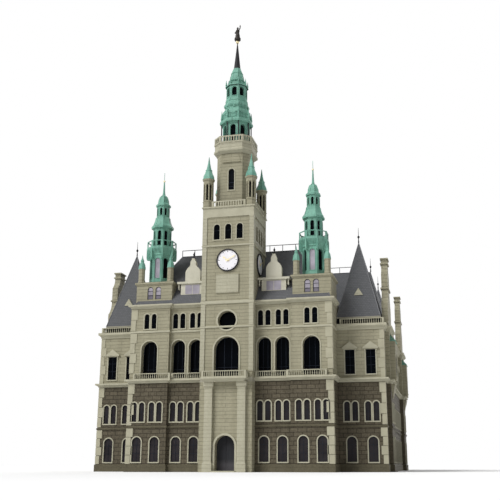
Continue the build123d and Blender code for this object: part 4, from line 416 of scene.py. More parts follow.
BROWN = rgb(0.104, 0.089, 0.061)
LIGHT = rgb(0.328, 0.308, 0.218)
TRIM = rgb(0.420, 0.402, 0.303)
LOOKS = {
    "brown_stone": courses("brown_ashlar", BROWN, 1.15, 0.54, 0.036, 0.36, 0.11, 0.06, 0.30),
    "light_stone": courses("light_ashlar", LIGHT, 3.4, 0.47, 0.024, 0.62, 0.035, 0.03, 0.12),
    "trim_stone": speckled("dressed_stone", (0.385, 0.368, 0.275), (0.455, 0.436, 0.332), 2.2, 0.86, 0.006,
                           gloss=0.12),
    "floor_stone": speckled("floor_stone_look", (0.29, 0.275, 0.215), (0.36, 0.34, 0.27), 2.0, 0.9, 0.004,
                            gloss=0.12),
    "slate": slates(),
    "copper_patina": copper(),
    "dark_iron": speckled("dark_iron_look", (0.014, 0.014, 0.016), (0.030, 0.029, 0.031), 5.0, 0.6, 0.002,
                          gloss=0.15),
    "dark_bronze": speckled("dark_bronze_look", (0.016, 0.014, 0.013), (0.040, 0.034, 0.028), 6.0, 0.5, 0.003,
                            0.3, 0.2),
    "dark_glass": glazing("dark_glass_look", (0.0010, 0.0017, 0.0030), gloss=0.025),
    "clock_face": speckled("clock_enamel", (0.80, 0.785, 0.82), (0.88, 0.865, 0.885), 3.0, 0.5, gloss=0.2),
    "gilt": speckled("gilt_look", (0.80, 0.68, 0.40), (0.90, 0.80, 0.52), 8.0, 0.4, 0.001, 0.4),
    "door_wood": boards(),
}
PLINTH = courses("smooth_plinth", rgb(0.108, 0.096, 0.063), 3.4, 0.60, 0.018, 0.78, 0.03, 0.02, 0.20)
TWO_TONE = courses("light_over_brown", LIGHT, 1.8, 0.54, 0.026, 0.58, 0.06, 0.04, 0.30, BROWN, 11.36)
COURSED_TRIM = courses("coursed_trim", TRIM, 6.0, 0.47, 0.020, 0.72, 0.02, 0.02, 0.12)
QUOIN_STONE = speckled("quoin_stone", (0.355, 0.336, 0.248), (0.425, 0.405, 0.300), 1.6, 0.86, 0.006, gloss=0.12)
DORMER_STONE = speckled("pale_dormer_stone", (0.50, 0.485, 0.39), (0.58, 0.56, 0.46), 2.0, 0.86, 0.006, gloss=0.12)
LEAD = speckled("lead_rolls", (0.085, 0.087, 0.096), (0.125, 0.127, 0.138), 3.0, 0.5)
# Near-black painted shade, for the insides of the lanterns and the turrets, the backs of the shaft's louvre slats and
# the strips behind the wings' balustrades
PAINTED_SHADE = speckled("painted_shade_dark", (0.003, 0.004, 0.006), (0.007, 0.008, 0.010), 4.0, 0.8, gloss=0.03)
DARK_FRAMES = speckled("dark_frames", (0.012, 0.016, 0.026), (0.022, 0.028, 0.042), 4.0, 0.6, gloss=0.1)
GREY_GLASS = glazing("grey_glass_look", (0.027, 0.024, 0.026), 0.22)
LAVENDER = glazing("lavender_panel", (0.36, 0.335, 0.385), 0.4, 0.1)
DIM_LAVENDER = glazing("dim_lavender_panel", (0.17, 0.155, 0.19), 0.4, 0.2)
OWN_LOOKS = {"plinth": PLINTH, "lower_string_course": PLINTH, "side_bays": TWO_TONE, "dormers": DORMER_STONE,
             "portal_pilasters": COURSED_TRIM, "tower_corner_strips": COURSED_TRIM, "spire_gallery": COURSED_TRIM}

SLOT_OF = {part["node"]: part["material_slot"] for part in frame["record"]["subparts"]}
for node, thing in frame["nodes"].items():
    thing.data.materials.clear()
    thing.data.materials.append(OWN_LOOKS.get(node, LOOKS[SLOT_OF[node]]))


# ---------------------------------------------------------------- mesh pieces

class Piece:
    """Collects closed forms into one mesh object, in full-size metres."""

    def __init__(self, name, slot, body="building", material=None):
        self.name, self.slot, self.body, self.material = name, slot, body, material
        self.points, self.faces, self.smooth = [], [], []

    def add(self, points, faces, smooth=False):
        first = len(self.points)
        self.points += [at(*point) for point in points]
        self.faces += [[first + i for i in face] for face in faces]
        self.smooth += [smooth] * len(faces)

    def loft(self, rings, closed_ends=True, smooth=False):
        n = len(rings[0])
        points = [point for ring in rings for point in ring]
        faces = [(k * n + i, k * n + (i + 1) % n, (k + 1) * n + (i + 1) % n, (k + 1) * n + i)
                 for k in range(len(rings) - 1) for i in range(n)]
        if closed_ends:
            last = (len(rings) - 1) * n
            faces += [tuple(reversed(range(n))), tuple(range(last, last + n))]
        self.add(points, faces, smooth)

    def box(self, x0, x1, y0, y1, z0, z1):
        self.loft([[(x0, y0, z), (x1, y0, z), (x1, y1, z), (x0, y1, z)] for z in (z0, z1)])

    def slab(self, place, outline, d0, d1):
        """Flat form on a wall: an outline of (u, z) between two distances out from its face."""
        self.loft([[place(u, d, z) for u, z in outline] for d in (d0, d1)])

    def wall_box(self, place, u0, u1, z0, z1, d0, d1):
        self.slab(place, rectangle(u0, u1, z0, z1), d0, d1)

    def ring(self, place, outer, inner, d0, d1):
        """Band between two like outlines on a wall."""
        n = len(outer)
        points = [place(u, d, z) for d in (d0, d1) for outline in (outer, inner) for u, z in outline]
        faces = []
        for i in range(n):
            j = (i + 1) % n
            faces += [(i, j, n + j, n + i), (2 * n + i, 3 * n + i, 3 * n + j, 2 * n + j),
                      (i, 2 * n + i, 2 * n + j, j), (n + i, n + j, 3 * n + j, 3 * n + i)]
        self.add(points, faces)

    def moulding(self, place, centre, window, width, proud, steps=10):
        """Band round a window, on the face of its wall."""
        self.ring(place, outline_of(centre, window, width, steps), outline_of(centre, window, 0.0, steps), 0.0, proud)

    def lathe(self, profile, cx, cy, sides=12):
        """Round upright form; the profile is a list of (radius, level)."""
        turns = [math.tau * i / sides for i in range(sides)]
        self.loft([[(cx + r * math.cos(turn), cy + r * math.sin(turn), z) for turn in turns] for r, z in profile],
                  smooth=True)

    def rod(self, a, b, radius, sides=8):
        a, b = Vector(a), Vector(b)
        along = (b - a).normalized()
        across = along.orthogonal().normalized()
        other = along.cross(across)
        turns = [math.tau * i / sides for i in range(sides)]
        self.loft([[tuple(end + radius * (math.cos(turn) * across + math.sin(turn) * other)) for turn in turns]
                   for end in (a, b)])

    def done(self):
        mesh = bpy.data.meshes.new(self.name)
        mesh.from_pydata(self.points, [], self.faces)
        for polygon, smooth in zip(mesh.polygons, self.smooth):
            polygon.use_smooth = smooth
        shape = bmesh.new()
        shape.from_mesh(mesh)
        bmesh.ops.recalc_face_normals(shape, faces=shape.faces)
        shape.to_mesh(mesh)
        shape.free()
        thing = bpy.data.objects.new(self.name, mesh)
        bpy.context.scene.collection.objects.link(thing)
        mesh.materials.append(self.material or LOOKS[self.slot])
        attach(thing, self.body)
        return thing


# ---------------------------------------------------------------- window frames, sills and panels

# Upright bars as shares of the half width, level bars as shares of the height, and the bars' width
BARS = {
    GROUND: ((0.0,), (0.34, 0.68), 0.045),
    FIRST: ((0.0,), (0.5,), 0.04),
    WING_MAIN: ((0.0,), (0.36, 0.70), 0.05),
    MID_MAIN: ((-0.33, 0.33), (0.24,), 0.055),
    RISALIT_MAIN: ((-0.33, 0.33), (0.24,), 0.055),
    UPPER: ((), (0.60,), 0.035),
    BALCONY_WINDOW: ((-0.30, 0.30), (0.24,), 0.07),
    BELFRY_WINDOW: ((), (0.60,), 0.04),
    ATTIC_WINDOW: ((), (0.31, 0.66), 0.07),
    ORIEL_WINDOW: ((0.0,), (0.36, 0.68), 0.05),
}
FRAME_DEPTH = 0.05


def window_frame(piece, place, centre, window, setback=SHALLOW):
    """Frame and bars that lie on the outer face of a pane."""
    half, sill, head, arched = window
    mullions, transoms, width = BARS[window]
    d0, d1 = -setback, -setback + FRAME_DEPTH
    piece.ring(place, outline_of(centre, window, -0.004), outline_of(centre, window, -width), d0, d1)
    spring = head - half
    for share in mullions:
        u = centre + share * half
        top = spring + math.sqrt(half ** 2 - (share * half) ** 2) if arched else head
        piece.wall_box(place, u - width / 3, u + width / 3, sill + width * 0.5, top - width * 0.6, d0, d1)
    for share in transoms:
        z = sill + share * (head - sill)
        reach = math.sqrt(half ** 2 - (z - spring) ** 2) if arched and z > spring else half
        piece.wall_box(place, centre - reach + width * 0.5, centre + reach - width * 0.5, z - width / 3,
                       z + width / 3, d0, d1 + 0.004)


def sill_of(piece, place, centre, window, beside=0.14, height=0.15, proud=0.10):
    half, sill = window[:2]
    reach = half + beside
    piece.wall_box(place, centre - reach, centre + reach, sill - height, sill, 0.0, proud)


def add_windows():
    frames = Piece("window_frames", "dark_glass", material=DARK_FRAMES)
    sills = Piece("window_sills", "trim_stone")
    grey_panes = Piece("lower_window_glass", "dark_glass", material=GREY_GLASS)
    for centre, window, place in facade_windows():
        if window in DEEP_WINDOWS:
            window_frame(frames, place, centre, window, DEEP)
        else:
            window_frame(frames, place, centre, window)
            sill_of(sills, place, centre, window)
        if window in (GROUND, FIRST):
            grey_panes.slab(place, outline_of(centre, window, -0.01), -SHALLOW, -SHALLOW + 0.012)
    window_frame(frames, front(0), 0, BALCONY_WINDOW, DEEP)
    for centre in BELFRY_AXES:
        window_frame(frames, front(0), centre, BELFRY_WINDOW)
        sill_of(sills, front(0), centre, BELFRY_WINDOW, 0.17, 0.14, 0.09)
    for centre, window in pairs((-RISALIT_AXIS, RISALIT_AXIS), ATTIC_WINDOW, ATTIC_PAIR):
        window_frame(frames, front(ATTIC_FRONT), centre, window)
    for y in (BAY_MIDDLE, REAR - BAY_MIDDLE):
        for place in (right(ORIEL_FACE), left(ORIEL_FACE)):
            window_frame(frames, place, y, ORIEL_WINDOW)
            sill_of(sills, place, y, ORIEL_WINDOW, beside=0.15, proud=0.09)
    frames.done()
    sills.done()
    grey_panes.done()


def add_attic_panels():
    """Pale panels in the attic's windows, the lanterns' front openings and the dormers."""
    panels = Piece("attic_window_panels", "dark_glass", material=LAVENDER)
    feet = Piece("attic_window_feet", "dark_glass", material=DIM_LAVENDER)
    attic, back, face, inset = front(ATTIC_FRONT), -SHALLOW, -SHALLOW + 0.02, 0.05
    lantern_half, _, lantern_opening, _, _ = ATTIC_LANTERNS[0]
    for side in SIDES:
        axis = side * RISALIT_AXIS
        for centre, window in pairs((axis,), ATTIC_PANEL, ATTIC_PAIR):
            panels.slab(attic, outline_of(centre, window, -inset), back, face)
            reach = window[0] - inset
            feet.wall_box(attic, centre - reach, centre + reach, 23.06, 23.52, back, face)
        panels.slab(front(LANTERN_Y - lantern_half), outline_of(axis, lantern_opening, -0.005), -0.16, -0.10)
        for centre, window in pairs((side * DORMER_X,), DORMER_WINDOW, DORMER_PAIR):
            panels.slab(front(DORMER_FRONT), outline_of(centre, window), 0.0, 0.02)
    panels.done()
    feet.done()


# ---------------------------------------------------------------- mouldings of the tower and the portal

def add_tower_mouldings():
    """Bands round the tower's windows, and the capitals of the portal's pilasters."""
    mouldings = Piece("tower_mouldings", "trim_stone")
    mouldings.moulding(front(0), 0, BALCONY_WINDOW, 0.20, 0.09, 20)
    mouldings.ring(front(0), *(circle(OCULUS_Z, radius, 40) for radius in OCULUS_RING), 0.0, 0.08)
    for centre in BELFRY_AXES:
        mouldings.moulding(front(0), centre, BELFRY_WINDOW, 0.12, 0.06)
    for place, centre in ((front(STAGE_FRONT), 0), (right(STAGE_HALF), TOWER_MIDDLE)):
        mouldings.moulding(place, centre, STAGE_WINDOW, 0.14, 0.06)
    back, face = PORTAL_FRONT, PILASTER_FRONT
    for side in SIDES:
        x0, x1 = span(side, *PILASTER_X)
        for z0, z1, proud in ((10.34, 10.42, 0.05), (10.62, 11.12, 0.12), (11.12, 11.20, 0.15)):
            mouldings.loft([[(x0 - g, back, z), (x0 - g, face - g, z), (x1 + g, face - g, z), (x1 + g, back, z)]
                            for g, z in ((proud - 0.03, z0), (proud, z0 + 0.04), (proud, z1))])
    mouldings.done()


# ---------------------------------------------------------------- balustrades

RAIL_THICKNESS = 0.22
BALUSTER = ((0.062, 0.04), (0.062, 0.10), (0.036, 0.14), (0.068, 0.27), (0.062, 0.32), (0.034, 0.54),
            (0.060, 0.61), (0.060, 0.68))  # radius, height over the cornice
BALUSTER_PITCH, POST = 0.30, 0.24
JOINT = 0.002                      # left free at the end of a run that meets another
MAIN_OUT, WING_OUT = 0.44, 0.10    # outer faces of the balustrades before their walls
MAIN_FOOT, WING_FOOT, BALCONY_FOOT = 11.90, 19.08, 11.81
RISALIT_END = RISALIT_OUT - 0.7
SIDE_POST_Y = 18.6                 # where a side's long run is divided
BALCONY_X, BALCONY_Y = 2.95, -1.22


def balustrade(piece, place, u0, u1, out, foot, post=POST):
    """Rails, end posts and turned balusters along a wall; out is the distance of its outer face."""
    d0, d1 = out - RAIL_THICKNESS, out
    middle = (d0 + d1) / 2
    piece.wall_box(place, u0, u1, foot, foot + 0.05, d0, d1)
    piece.wall_box(place, u0, u1, foot + 0.67, foot + 0.77, d0, d1)
    for start in (u0, u1 - post):
        piece.wall_box(place, start, start + post, foot + 0.04, foot + 0.68, d0 + 0.01, d1 - 0.01)
    free = u1 - u0 - 2 * post
    count = max(1, round(free / BALUSTER_PITCH))
    for i in range(count):
        x, y, _ = place(u0 + post + free * (i + 0.5) / count, middle, 0)
        piece.lathe([(radius, foot + height) for radius, height in BALUSTER], x, y, sides=8)


def add_balustrades():
    """Balustrades of the main cornice, the wings and the balcony, and a near-black strip of painted shade behind the
    wings'.
    """
    balustrades = Piece("turned_balustrades", "trim_stone")
    shade_strips = Piece("painted_shade_strips", "dark_iron", material=PAINTED_SHADE)
    main_runs = ((MID_FRONT, TOWER_HALF + 0.1, RISALIT_IN - MAIN_OUT - JOINT),
                 (RISALIT_FRONT, RISALIT_IN - MAIN_OUT, RISALIT_END))
    side_runs = ((WING_FRONT - WING_OUT + RAIL_THICKNESS, BAY_MIDDLE - BAY_HALF),
                 (BAY_MIDDLE + BAY_HALF, SIDE_POST_Y), (SIDE_POST_Y, REAR / 2))
    for wall, level in ((front, 0), (rear, REAR)):
        for side, across in ((1, right), (-1, left)):
            for face, u0, u1 in main_runs:
                balustrade(balustrades, wall(face), *span(side, u0, u1), MAIN_OUT, MAIN_FOOT)
            balustrade(balustrades, wall(WING_FRONT), *span(side, RISALIT_OUT + 0.45, WING_HALF + WING_OUT),
                       WING_OUT, WING_FOOT)
            # A near-black strip of painted shade before the eaves wall, where the roof's overhang shades the gaps
            # between the balusters
            shade_strips.wall_box(wall(WING_FRONT), *span(side, RISALIT_OUT + 0.02, WING_HALF - 0.3), 19.09, 19.96,
                             -0.43, -0.40)
            runs = [(across(RISALIT_END), RISALIT_FRONT - MAIN_OUT + RAIL_THICKNESS, RISALIT_FRONT, 0.0, MAIN_FOOT)]
            runs += [(across(WING_HALF), y0, y1, WING_OUT, WING_FOOT) for y0, y1 in side_runs]
            for place, y0, y1, out, foot in runs:
                y0, y1 = sorted((abs(level - y0), abs(level - y1)))
                balustrade(balustrades, place, y0 + JOINT, y1 - JOINT, out, foot, min(POST, (y1 - y0) / 4))
    balustrade(balustrades, front(BALCONY_Y), -BALCONY_X, BALCONY_X, 0, BALCONY_FOOT)
    for across in (right, left):
        balustrade(balustrades, across(BALCONY_X), BALCONY_Y + RAIL_THICKNESS + JOINT, PORTAL_FRONT - JOINT, 0,
                   BALCONY_FOOT)
    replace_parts(balustrades.done(), "balustrades")
    shade_strips.done()


# ---------------------------------------------------------------- quoins and pediments

QUOIN_HEIGHT, QUOIN_JOINT, QUOIN_PROUD = 1.12, 0.025, 0.07
LOWER_STOREYS = ((0.99, 5.55), (5.90, 11.36))
RISALIT_CORNER = (RISALIT_OUT, RISALIT_FRONT, (*LOWER_STOREYS, (12.72, 18.13), (18.47, 21.48)), 0.86, 0.62)
WING_CORNER = (WING_HALF, WING_FRONT, (*LOWER_STOREYS, (11.92, 18.28)), 0.76, 0.52)
PEDIMENT_GABLE = ((-1.06, 0.0), (1.06, 0.0), (0.0, 0.82))
PEDIMENT_FOOT, CONSOLE_TOP, CONSOLE_FOOT = 15.90, 15.76, 15.45


def quoin_column(piece, x, y, side_x, side_y, z0, z1, long, short):
    """Alternating long and short corner blocks on both faces of an outer corner."""
    count = int((z1 - z0) / QUOIN_HEIGHT)
    pitch = (z1 - z0) / count
    proud_x, proud_y = x + side_x * QUOIN_PROUD, y + side_y * QUOIN_PROUD
    for i in range(count):
        low, high = z0 + pitch * i + QUOIN_JOINT, z0 + pitch * (i + 1) - QUOIN_JOINT
        on_front, on_side = (long, short) if i % 2 else (short, long)
        piece.box(*sorted((x - side_x * on_front, proud_x)), *sorted((y, proud_y)), low, high)
        piece.box(*sorted((x, proud_x)), *sorted((y - side_y * on_side, y)), low, high)


def add_quoins():
    quoins = Piece("quoins", "trim_stone", material=QUOIN_STONE)
    for side in SIDES:
        for x, face, stretches, long, short in (RISALIT_CORNER, WING_CORNER):
            for y, side_y in ((face, -1), (REAR - face, 1)):
                for z0, z1 in stretches:
                    quoin_column(quoins, side * x, y, side, side_y, z0, z1, long, short)
    quoins.done()


def pediment(piece, place, centre):
    """Solid gable on a thin cornice, with a raised face and two consoles."""
    for share, d0, d1 in ((1.0, 0.0, 0.20), (0.97, 0.20, 0.24)):
        piece.slab(place, [(centre + share * u, PEDIMENT_FOOT + share * rise) for u, rise in PEDIMENT_GABLE], d0, d1)
    piece.wall_box(place, centre - 1.02, centre + 1.02, CONSOLE_TOP, PEDIMENT_FOOT, 0.0, 0.22)
    for side in SIDES:
        u0, u1 = sorted((centre + side * 0.68, centre + side * 0.84))
        piece.wall_box(place, u0, u1, CONSOLE_FOOT, CONSOLE_TOP, 0.0, 0.12)


def add_pediments():
    pediments = Piece("window_pediments", "trim_stone")
    for centre in WING_BAYS:
        for side in SIDES:
            pediment(pediments, front(WING_FRONT), side * centre)
            pediment(pediments, rear(WING_FRONT), side * centre)
    for centre in SIDE_BAYS:
        pediment(pediments, right(WING_HALF), centre)
        pediment(pediments, left(WING_HALF), centre)
    pediments.done()


# ---------------------------------------------------------------- tower shaft and doorstep

def add_shaft():
    """Blank panel under the clock, and the hood and the louvre slats of the shaft's windows, with a near-black panel
    of painted shade behind the slats.
    """
    panel = Piece("tower_blank_panel", "light_stone", material=COURSED_TRIM)
    panel.wall_box(front(0), -1.55, 1.55, 22.98, 25.50, 0.0, 0.16)
    panel.done()
    hood = Piece("shaft_hood", "light_stone")
    hood.slab(front(STAGE_FRONT), [(-1.30, 42.10), (1.30, 42.10), (0.95, 43.30), (-0.95, 43.30)], 0.0, 0.10)
    hood.wall_box(front(STAGE_FRONT), -1.34, 1.34, 42.00, 42.10, 0.0, 0.15)
    hood.done()
    louvre_shade = Piece("shaft_louvre_shade", "dark_iron", material=PAINTED_SHADE)
    slats = Piece("shaft_louvre_slats", "dark_iron", material=DARK_FRAMES)
    for place, centre in ((front(STAGE_FRONT), 0), (right(STAGE_HALF), TOWER_MIDDLE),
                          (left(STAGE_HALF), TOWER_MIDDLE), (behind(TOWER_MIDDLE + STAGE_HALF), 0)):
        # Near-black painted shade behind the slats, where the inside of the shaft is dark
        louvre_shade.slab(place, outline_of(centre, STAGE_WINDOW, -0.004), -0.16, -0.12)
        for z in (38.35, 38.95):
            slats.wall_box(place, centre - 0.40, centre + 0.40, z, z + 0.07, -0.12, -0.07)
    louvre_shade.done()
    slats.done()


def add_doorstep():
    step = Piece("doorstep", "trim_stone")
    step.loft([[(-x, y, z), (x, y, z), (x, PORTAL_FRONT, z), (-x, PORTAL_FRONT, z)]
               for x, y, z in ((1.52, -0.92, 0.0), (1.54, -0.95, 0.02), (1.54, -0.95, 0.13), (1.51, -0.91, 0.16))])
    step.done()


# ---------------------------------------------------------------- copper stages

SLAT = ((0.0, 0.06), (0.03, 0.0), (0.03, 0.02), (0.0, 0.08))    # distance out, height
SLAT_PITCH = 0.22
CONSOLE = ((1.58, 29.0), (1.95, 29.0), (2.08, 29.12), (2.13, 29.4), (2.13, 30.48), (1.58, 30.48))
# Rounded mouldings of the spire: half width, level of the middle, half height, projection
TORI = ((2.20, 48.70, 0.20, 0.07), (1.66, 51.40, 0.22, 0.08), (1.93, 49.25, 0.08, 0.05), (1.86, 50.20, 0.08, 0.05),
        (1.50, 52.10, 0.07, 0.05), (1.12, 55.50, 0.12, 0.07), (0.80, 56.80, 0.08, 0.06), (1.58, 54.52, 0.07, 0.04))
# Caps: half width, height over the foot
TURRET_CAP = ((0.80, 0.0), (0.80, 0.08), (0.72, 0.14), (0.70, 0.42), (0.63, 0.68), (0.49, 0.98), (0.41, 1.30),
              (0.44, 1.38), (0.44, 1.46), (0.32, 1.56), (0.25, 1.90), (0.14, 2.50), (0.03, 3.42))
PINNACLE_CAP = ((0.46, 0.0), (0.46, 0.10), (0.43, 0.34), (0.37, 0.70), (0.22, 1.02), (0.20, 1.12), (0.24, 1.20),
                (0.24, 1.28), (0.14, 1.42), (0.08, 1.65), (0.02, 2.05))
# Distance out, half width, level
ORIEL_CAP = ((0.80, 1.60, 17.2), (0.80, 1.60, 17.28), (0.42, 1.05, 17.72), (0.10, 0.40, 18.2))
FINIAL = ((0.09, 28.73), (0.10, 28.95), (0.075, 29.15), (0.15, 29.28), (0.15, 29.40), (0.06, 29.50), (0.035, 29.70))


def dress_lantern(shade_linings, arches, cx, cy, lantern, width):
    """Near-black core of painted shade inside a lantern, with slats in its openings in the same painted shade, and a
    moulding round each of its arches.
    """
    half, wall, opening, foot, top = lantern
    _, sill, head, _ = opening
    inside = half - wall - 0.05
    shade_linings.loft([octagon(cx, cy, inside, z) for z in (foot + 0.04, top - 0.04)])
    for i in range(int((head - sill) / SLAT_PITCH)):
        z = sill + 0.08 + SLAT_PITCH * i
        shade_linings.loft([octagon(cx, cy, inside + out, z + up) for out, up in SLAT], closed_ends=False)
    for turn in EIGHTHS:
        arches.moulding(octagon_face(cx, cy, half, turn), 0, opening, width, 0.045)


def rib_corners(ribs, cx, cy, profile, radius):
    """Rolled seams down the corners of an eight-sided roof."""
    for low, high in zip(profile, profile[1:]):
        for a, b in zip(octagon(cx, cy, *low), octagon(cx, cy, *high)):
            ribs.rod(a, b, radius, 6)


def dress_spire_tiers(piece):
    """Panels, gables and rolls on each face of the spire's tiers."""
    for turn in EIGHTHS:
        tier, gable, roll = (octagon_face(0, TOWER_MIDDLE, half, turn) for half in (1.93, 1.42, 1.66))
        piece.slab(tier, [(-0.66, 49.86), (0.66, 49.86), (0.0, 50.42)], -0.10, 0.09)
        piece.ring(tier, rectangle(-0.52, 0.52, 49.22, 49.80), rectangle(-0.40, 0.40, 49.32, 49.70), -0.02, 0.05)
        piece.slab(gable, [(-0.45, 54.62), (0.45, 54.62), (0.0, 55.10)], -0.30, 0.02)
        piece.wall_box(roll, -0.10, 0.10, 50.90, 51.60, -0.12, 0.05)


def gallery_consoles(piece, cx):
    """Upright consoles under the corners of an attic lantern's gallery."""
    for i in range(8):
        angle = (i + 0.5) * math.pi / 4
        nx, ny = math.cos(angle), math.sin(angle)
        piece.loft([[(cx + r * nx - t * ny, LANTERN_Y + r * ny + t * nx, z) for r, z in CONSOLE]
                    for t in (-0.09, 0.09)])


def turret_axes(side):
    return [(side * (TOWER_HALF - TURRET_INSET), y) for y in (TURRET_INSET, TOWER_DEPTH - TURRET_INSET)]


def add_lantern_dressings():
    """Near-black cores of painted shade, arches and seams of the lanterns on the tower and on the attics, and painted
    shade in the turrets' slots.
    """
    shade_linings = Piece("lantern_shade_linings", "dark_iron", material=PAINTED_SHADE)
    arches = Piece("copper_arch_mouldings", "copper_patina")
    ribs = Piece("copper_ribs", "copper_patina")
    for lantern in SPIRE_LANTERNS:
        dress_lantern(shade_linings, arches, 0, TOWER_MIDDLE, lantern, 0.09)
    for profile in SPIRE_PROFILES:
        rib_corners(ribs, 0, TOWER_MIDDLE, profile, 0.035)
    dress_spire_tiers(arches)
    for side in SIDES:
        cx = side * RISALIT_AXIS
        for lantern in ATTIC_LANTERNS:
            dress_lantern(shade_linings, arches, cx, LANTERN_Y, lantern, 0.07)
        for profile in ATTIC_PROFILES:
            rib_corners(ribs, cx, LANTERN_Y, profile, 0.03)
        gallery_consoles(arches, cx)
    for side in SIDES:
        for cx, cy in turret_axes(side):
            # Near-black painted shade inside the turrets, seen through their slots
            shade_linings.loft([octagon(cx, cy, TURRET_SHADE_HALF, z) for z in TURRET_SLOTS])
    shade_linings.done()
    arches.done()
    ribs.done()


def add_spire_mouldings():
    tori = Piece("copper_mouldings", "copper_patina")
    for half, middle, reach, proud in TORI:
        turns = [math.pi * i / 6 for i in range(7)]
        profile = [(half - 0.10, middle - reach),
                   *((half - 0.01 + proud * math.sin(turn), middle - reach * math.cos(turn)) for turn in turns),
                   (half - 0.10, middle + reach)]
        tori.loft([octagon(0, TOWER_MIDDLE, *point) for point in profile])
    tori.done()


def add_caps():
    """Bell-shaped caps of the turrets and the pinnacles, and the roofs of the oriels."""
    caps = Piece("bell_caps", "copper_patina")
    for side in SIDES:
        for cx, cy in turret_axes(side):
            caps.loft([octagon(cx, cy, half, TURRET_TOP + z) for half, z in TURRET_CAP])
        for offset in PINNACLE_OFFSETS:
            cx = side * RISALIT_AXIS + offset
            caps.loft([octagon(cx, PINNACLE_Y, half, PINNACLE_FOOT + z) for half, z in PINNACLE_CAP])
        for middle in (BAY_MIDDLE, REAR - BAY_MIDDLE):
            caps.loft([[(side * (BAY_FACE + x), middle + y, z)
                        for x, y in ((0, -half), (reach, -half), (reach, half), (0, half))]
                       for reach, half, z in ORIEL_CAP])
    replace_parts(caps.done(), "copper_caps")


def add_finials():
    """Iron finials of the dormers, and gilt balls on the attic lanterns."""
    finials = Piece("dormer_finials", "dark_iron")
    gilt_balls = Piece("lantern_gilt_balls", "gilt")
    turns = [math.pi * i / 10 for i in range(11)]
    ball = [(max(0.01, LANTERN_BALL * math.sin(turn)), LANTERN_BALL_Z - LANTERN_BALL * math.cos(turn))
            for turn in turns]
    for side in SIDES:
        finials.lathe(FINIAL, side * DORMER_X, DORMER_FRONT + 0.35)
        gilt_balls.lathe(ball, side * RISALIT_AXIS, LANTERN_Y, 16)
    finials.done()
    gilt_balls.done()


# ---------------------------------------------------------------- roofs

def add_roof_details():
    """Gabled vents on the pavilions' roofs, and lead rolls down the hips."""
    vents = Piece("roof_vents", "light_stone", material=COURSED_TRIM)
    hips = Piece("roof_ridge_rolls", "slate", material=LEAD)
    px, py, pz, half_x, half_y, foot = PAVILION
    low, high, vent_half, roll = 23.25, 24.25, 0.62, 0.06

    def slope_y(z):
        return py - half_y * (pz - z) / (pz - foot)

    front_y, back_y = slope_y(low) - 0.10, slope_y(low) + 0.1
    for side in SIDES:
        for in_rear in (False, True):
            spot = quarter(side, in_rear)
            for sx, sy in ((-1, -1), (1, -1), (1, 1), (-1, 1)):
                hips.rod(spot(px + sx * half_x, py + sy * half_y, foot), spot(px, py, pz), roll, 6)
            vents.loft([[spot(px - vent_half, front_y, low), spot(px + vent_half, front_y, low),
                         spot(px, front_y, high)],
                        [spot(px - vent_half, back_y, low), spot(px + vent_half, back_y, low),
                         spot(px, slope_y(high) + 0.1, high)]])
    for in_rear in (False, True):
        for side in SIDES:
            spot = quarter(side, in_rear)
            for y in HIP_FEET_Y:
                hips.rod(spot(HIP_FOOT_X, y, HIP_FOOT_Z), spot(*HIP_TOP), roll, 6)
    vents.done()
    hips.done()


# ---------------------------------------------------------------- doors and clocks

def add_door_details():
    """Framed panels and a handle on each leaf, which turn with it."""
    rim = 0.09
    for name, side in (("right_door_leaf", 1), ("left_door_leaf", -1)):
        low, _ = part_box(name)
        face_y = low.y / SCALE + ORIGIN_Y
        u0, u1 = span(side, 0.16, 1.12)
        rails = Piece(f"{name}_panels", "door_wood", name)
        for z0, z1 in ((0.45, 1.45), (1.62, 2.90)):
            rails.ring(front(face_y), rectangle(u0, u1, z0, z1),
                       rectangle(u0 + rim, u1 - rim, z0 + rim, z1 - rim), 0.0, 0.018)
        rails.done()
        handle = Piece(f"{name}_handle", "dark_iron", name)
        handle.rod(*((side * 0.10, face_y - 0.03, z) for z in (1.18, 1.50)), 0.014)
        handle.done()


def add_clock_details():
    """Hour marks and a bezel on each of the three dials."""
    marks = Piece("clock_marks", "dark_iron")
    bezels = Piece("clock_bezels", "dark_iron")
    mark_radius, mark_half = 1.20, 0.035
    for place in (front(0), lambda u, d, z: (TOWER_HALF + d, TOWER_MIDDLE + u, z),
                  lambda u, d, z: (-TOWER_HALF - d, TOWER_MIDDLE - u, z)):
        for hour in range(12):
            sine, cosine = math.sin(math.tau * hour / 12), math.cos(math.tau * hour / 12)
            reach = 0.10 if hour % 3 == 0 else 0.055
            inner, outer = mark_radius - reach, mark_radius + reach
            outline = [(s * mark_half * cosine + r * sine, CLOCK_Z - s * mark_half * sine + r * cosine)
                       for s, r in ((-1, inner), (1, inner), (1, outer), (-1, outer))]
            marks.slab(place, outline, DIAL_FACE, DIAL_FACE + 0.008)
        bezels.ring(place, *(circle(CLOCK_Z, radius, 48) for radius in CLOCK_BEZEL), 0.0, 0.19)
    marks.done()
    bezels.done()


# ---------------------------------------------------------------- camera, light, floor

CAMERA = (27.943, -97.471, 0.861)
YAW, PITCH = math.radians(12.606), math.radians(14.927)
FOCAL_SHARE = 1.558458   # focal length over the sensor's width
SENSOR = 36.0
WHITE = rgb(1, 1, 1)


def add_camera():
    camera = bpy.data.objects.new("camera", bpy.data.cameras.new("camera"))
    bpy.context.scene.collection.objects.link(camera)
    camera.location = at(*CAMERA)
    camera.rotation_euler = (math.pi / 2 + PITCH, 0, YAW)
    camera.data.sensor_width = SENSOR
    camera.data.lens = SENSOR * FOCAL_SHARE
    camera.data.shift_x, camera.data.shift_y = -0.0449, 0.0148
    camera.data.clip_end = 1000.0
    bpy.context.scene.camera = camera


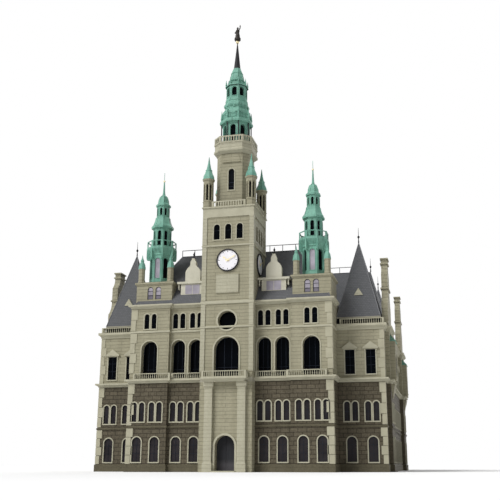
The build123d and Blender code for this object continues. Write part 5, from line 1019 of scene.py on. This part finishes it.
def seen_directly(tree):
    """1 for a ray from the camera, or one that glass or metal sends on, and 0 for light on the object."""
    path = tree.nodes.new("ShaderNodeLightPath")
    value = path.outputs["Is Camera Ray"]
    for name in ("Is Glossy Ray", "Is Transmission Ray"):
        larger = tree.nodes.new("ShaderNodeMath")
        larger.operation = "MAXIMUM"
        tree.links.new(value, larger.inputs[0])
        tree.links.new(path.outputs[name], larger.inputs[1])
        value = larger.outputs[0]
    return value


def add_floor():
    """Pale floor that the camera sees as white, and that still takes the building's shadow."""
    mesh = bpy.data.meshes.new("floor")
    reach = 150.0
    corners = [(x, y, 0) for x, y in rectangle(-reach, reach, -reach, reach)]
    mesh.from_pydata(corners, [], [(0, 1, 2, 3)])
    floor = bpy.data.objects.new("floor", mesh)
    bpy.context.scene.collection.objects.link(floor)
    m = Nodes("floor_look", 0.9, gloss=0.0)
    m.shader.inputs["Base Color"].default_value = rgb(0.90, 0.90, 0.90)
    m.shader.inputs["Emission Color"].default_value = WHITE
    m.tree.links.new(m.math("MULTIPLY", seen_directly(m.tree), 0.04), m.shader.inputs["Emission Strength"])
    mesh.materials.append(m.material)


def add_lamp(name, direction, strength, angle):
    light = bpy.data.lights.new(name, "SUN")
    light.energy = strength
    light.angle = math.radians(angle)
    thing = bpy.data.objects.new(name, light)
    thing.rotation_euler = Vector(direction).to_track_quat("-Z", "Y").to_euler()
    bpy.context.scene.collection.objects.link(thing)


def add_sky():
    """Plain soft light all round, seen as white."""
    world = bpy.data.worlds.new("studio")
    world.use_nodes = True
    tree = world.node_tree
    soft, seen = tree.nodes["Background"], tree.nodes.new("ShaderNodeBackground")
    for background, strength in ((soft, 0.34), (seen, 1.0)):
        background.inputs["Color"].default_value = WHITE
        background.inputs["Strength"].default_value = strength
    mixer = tree.nodes.new("ShaderNodeMixShader")
    tree.links.new(seen_directly(tree), mixer.inputs[0])
    tree.links.new(soft.outputs[0], mixer.inputs[1])
    tree.links.new(seen.outputs[0], mixer.inputs[2])
    tree.links.new(mixer.outputs[0], tree.nodes["World Output"].inputs["Surface"])
    bpy.context.scene.world = world


add_windows()
add_attic_panels()
add_tower_mouldings()
add_balustrades()
add_quoins()
add_pediments()
add_shaft()
add_doorstep()
add_lantern_dressings()
add_spire_mouldings()
add_caps()
add_finials()
add_roof_details()
add_door_details()
add_clock_details()

add_camera()
add_floor()
add_lamp("key", (0.62, 0.74, -0.95), 2.9, 30)
add_lamp("back", (0.0, -0.9, -0.5), 0.8, 40)
add_sky()
bpy.context.scene.view_settings.view_transform = "Standard"
